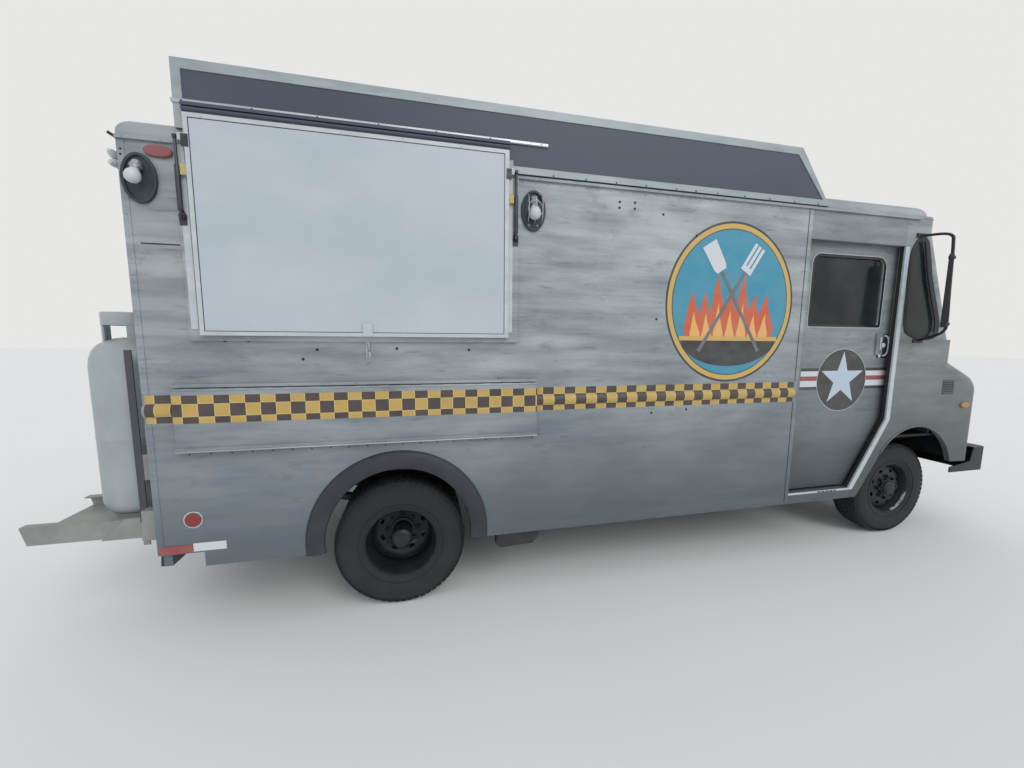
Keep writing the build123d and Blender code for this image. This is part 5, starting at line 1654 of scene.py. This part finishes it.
def buildMirrors(settings):
    bend = [(2.292, -1.181, 2.414), (2.304, -1.230, 2.408), (2.318, -1.300, 2.400), (2.328, -1.342, 2.378),
            (2.332, -1.352, 2.320), (2.350, -1.354, 2.000), (2.366, -1.354, 1.770), (2.366, -1.344, 1.704),
            (2.372, -1.290, 1.668), (2.395, -1.181, 1.634)]
    arm = [pipeShape(smoothPath(bend, 5), 0.0095, 12)]
    for x, z in settings["feet"]:
        arm.append(boxShape((x - 0.050, -1.187, z - 0.016), (x + 0.050, -1.180, z + 0.016)))
    addPair("mirrorArms", arm, "blackCoat", slot="black_steel", bevel=0.001, stands=("mirrors",))
    w, d, h = (value / 2 for value in settings["head"])
    tilt, swing = (math.radians(angle) for angle in settings["turn"])
    turn = Matrix.Translation(settings["centre"]) @ Matrix.Rotation(swing, 4, "Z") @ Matrix.Rotation(tilt, 4, "Y")
    rim = roundRect(-w, w, -h, h, 0.034, 6)
    shell = moved(prismShape(rim, -d * 0.55, d), turn)
    lip = moved(frameShape(rim, inset(rim, 0.008), -d, -d * 0.4), turn)
    addPair("mirrorShells", [shell, lip], "blackCoat", slot="black_steel", bevel=0.004)
    glass = moved(prismShape(inset(rim, 0.007), -d * 0.75, -d * 0.5), turn)
    addPair("mirrorGlasses", [glass], "mirrorFace", slot="glass")
    clamps = [boxShape((x - 0.019, -1.364, z - 0.012), (x + 0.019, -1.340, z + 0.012)) for x, z in settings["clamps"]]
    addPair("mirrorClamps", clamps, "blackCoat", slot="black_steel", bevel=0.003)


buildMirrors(mirrorSettings)
print("nose, lamps and mirrors built")


# arch flares
flareSettings = {
    "centre": (-1.516, -1.180, 0.465),
    "sweep": (83, 194),  # degrees: start, length
    "profile": [(0.415, 0.001), (0.409, 0.010), (0.413, 0.022), (0.424, 0.0258), (0.450, 0.0255), (0.480, 0.022),
                (0.502, 0.014), (0.512, 0.006), (0.515, 0.001)],
}


def buildFlares(settings):
    start, sweep = settings["sweep"]
    shape = spinShape(flipProfile(settings["profile"], -1), settings["centre"], sides=60, sweep=sweep, start=start)
    addPair("flares", [shape], "flareRubber", slot="rubber", stands=("arch_flares",))


buildFlares(flareSettings)


# gas cylinder
cylinderSettings = {
    "centre": (-2.932, -0.862, 0.600),
    "radius": 0.185,
    "posts": (20, 140, 260),  # degrees
}


def buildCylinder(settings):
    centre, r = settings["centre"], settings["radius"]
    shell = [(0, 0.042), (0.060, 0.044), (0.120, 0.052), (0.160, 0.068), (0.178, 0.092), (r, 0.125)]
    shell += [(r, 0.470), (r + 0.0015, 0.474), (r + 0.0015, 0.482), (r, 0.486)]
    shell += [(r, 0.860), (0.180, 0.900), (0.168, 0.940), (0.146, 0.972), (0.112, 0.996), (0.070, 1.010),
              (0.026, 1.015), (0, 1.015)]
    foot = [(0.134, 0.0), (0.140, 0.0), (0.142, 0.030), (0.150, 0.062), (0.144, 0.062), (0.136, 0.030)]
    shapes = [spinShape(shell, centre, "z", 64, closed=False), spinShape(foot, centre, "z", 64)]
    # guard ring in three posts, rolled at its top
    post = [(0.114, 0.988), (0.120, 0.985), (0.120, 1.080), (0.114, 1.080)]
    shapes += [spinShape(post, centre, "z", 14, sweep=62, start=start) for start in settings["posts"]]
    roll = [(0.113, 1.078), (0.121, 1.078), (0.121, 1.140), (0.118, 1.147), (0.112, 1.147), (0.110, 1.142),
            (0.113, 1.138)]
    shapes.append(spinShape(roll, centre, "z", 56))
    addPiece("bottle", shapes, "bottleCoat", slot="white_paint", stands=("gas_cylinder",))
    cx, cy, cz = centre
    neck = [(0, 1.005), (0.020, 1.005), (0.020, 1.030), (0.014, 1.034), (0.014, 1.070), (0, 1.070)]
    valve = [
        spinShape(neck, centre, "z", 24),
        spinShape([(0, 1.070), (0.024, 1.072), (0.026, 1.078), (0.024, 1.088), (0, 1.090)], centre, "z", 10),
        spinShape([(0, 0.0), (0.013, 0.0), (0.013, 0.045), (0.010, 0.050), (0, 0.050)], (cx, cy, cz + 1.046), "x", 16),
    ]
    addPiece("bottleValve", valve, "brassMetal", slot="steel", bevel=0.0008)


buildCylinder(cylinderSettings)


# steering wheel
steeringSettings = {
    "centre": (2.150, 0.500, 1.490),
    "lean": -42,  # degrees
    "radius": 0.215,
    "grip": 0.015,
    "spokes": (0, 120, 240),
}


def buildSteering(settings):
    tilt = Matrix.Translation(settings["centre"]) @ Matrix.Rotation(math.radians(settings["lean"]), 4, "Y")
    radius = settings["radius"]
    circle = [(radius * math.cos(a), radius * math.sin(a), 0) for a in turnAngles(48)]
    spokes = []
    for c, s in ((math.cos(a), math.sin(a)) for a in map(math.radians, settings["spokes"])):
        spokes.append(pipeShape([(0.03 * c, 0.03 * s, -0.012), (0.208 * c, 0.208 * s, 0)], 0.009, 10))
    hub = spinShape([(0, -0.03), (0.035, -0.03), (0.042, -0.01), (0.034, 0.008), (0, 0.012)], (0, 0, 0), "z", 32)
    column = spinShape(pinProfile(0.036, -0.18, -0.03), (0, 0, 0), "z", 20)
    shapes = [pipeShape(circle, settings["grip"], 12, closed=True), *spokes, hub, column]
    addPiece("steeringWheel", [moved(shape, tilt) for shape in shapes], "interiorTrim", slot="interior",
             stands=("steering_wheel",))


buildSteering(steeringSettings)


# rear doors: panes, lock handles and gaskets
rearSettings = {
    "face": -2.734,
    "pane": (0.150, 0.480, 1.560, 1.980),
    "hasps": (0.860, 1.520, 2.140),
    "studRows": (-0.50, -0.20, 0.10, 0.40, 0.70, 1.00),
}


def buildRearDoors(settings):
    face = settings["face"]
    y0, y1, z0, z1 = settings["pane"]
    for side, body in ((-1, "rear_door_right"), (1, "rear_door_left")):
        rim = [(side * y, z) for y, z in roundRect(y0, y1, z0, z1, 0.050)]
        hole = [(side * y, z) for y, z in roundRect(y0 + 0.020, y1 - 0.020, z0 + 0.020, z1 - 0.020, 0.034)]
        addPiece(body + "Seal", [frameShape(rim, hole, face - 0.006, face, "x")], "sealRubber", body=body,
                 slot="rubber", bevel=0.002)
        addPiece(body + "Pane", [prismShape(hole, face - 0.0025, face, "x")], "paneEdge", body=body, slot="glass")
        knob = [(0, face - 0.006), (0.015, face - 0.006), (0.015, face - 0.020), (0.010, face - 0.024),
                (0, face - 0.024)]
        handle = [(face - 0.020, side * 0.100, 1.255), (face - 0.024, side * 0.115, 1.245),
                  (face - 0.024, side * 0.205, 1.225)]
        lock = [
            boxShape((face - 0.006, side * 0.100 - 0.028, 1.180), (face, side * 0.100 + 0.028, 1.330)),
            spinShape(knob, (0, side * 0.100, 1.255), "x", 20),
            pipeShape(handle, 0.007, 10),
        ]
        lock += [boxShape((face - 0.020, side * 0.051 - 0.020, z - 0.022), (face, side * 0.051 + 0.020, z + 0.022))
                 for z in settings["hasps"]]
        addPiece(body + "Lock", lock, "steelSheet", body=body, slot="steel", bevel=0.0015)
    step = [[(-2.900, y, 0.545), (-2.740, y, 0.545)] for y in settings["studRows"]]
    addFasteners("stepStuds", step, "blackCoat", 0.040, 0.009, 0.004, facing=(0, 0, 1), slot="black_steel")


buildRearDoors(rearSettings)


# stage and light
stageSettings = {
    "size": 60,
    "sky": ((0.93, 0.96, 1.0, 1), 0.82),  # colour and strength of the light
    "backdrop": ((0.80, 0.80, 0.79, 1), 1.0),
    "sun": (0.9, 35),  # strength, width in degrees
    "sunTurn": (52, 0, 24),
}


def buildStage(settings):
    mesh = bpy.data.meshes.new("floorPlane")
    size = settings["size"]
    mesh.from_pydata([(-size, -size, 0), (size, -size, 0), (size, size, 0), (-size, size, 0)], [], [(0, 1, 2, 3)])
    floor = bpy.data.objects.new("floorPlane", mesh)
    scene.collection.objects.link(floor)
    material, tree, shader = startMaterial("paleFloor", Roughness=0.85)
    grain = speckle(tree, (0.6, 0.6, 0.6), 3.0)
    feed(tree, shader, {"Base Color": blendColour(tree, grain, colour(226, 226, 224), colour(232, 232, 231))})
    mesh.materials.append(material)
    world = bpy.data.worlds.new("softSky")
    scene.world = world
    world.use_nodes = True
    tree = world.node_tree
    tree.nodes.clear()
    rays = addNode(tree, "ShaderNodeLightPath").outputs
    seen = greatest(tree, greatest(tree, rays["Is Camera Ray"], rays["Is Glossy Ray"]), rays["Is Transmission Ray"])
    light, backdrop = (addNode(tree, "ShaderNodeBackground", {"Color": tint, "Strength": strength}).outputs[0]
                       for tint, strength in (settings["sky"], settings["backdrop"]))
    mixed = addNode(tree, "ShaderNodeMixShader", {0: seen, 1: light, 2: backdrop})
    addNode(tree, "ShaderNodeOutputWorld", {0: mixed.outputs[0]})
    sun = bpy.data.lights.new("softSun", "SUN")
    sun.energy, width = settings["sun"]
    sun.angle = math.radians(width)
    lamp = bpy.data.objects.new("softSun", sun)
    lamp.rotation_euler = [math.radians(angle) for angle in settings["sunTurn"]]
    scene.collection.objects.link(lamp)


buildStage(stageSettings)
print("stage and light set")
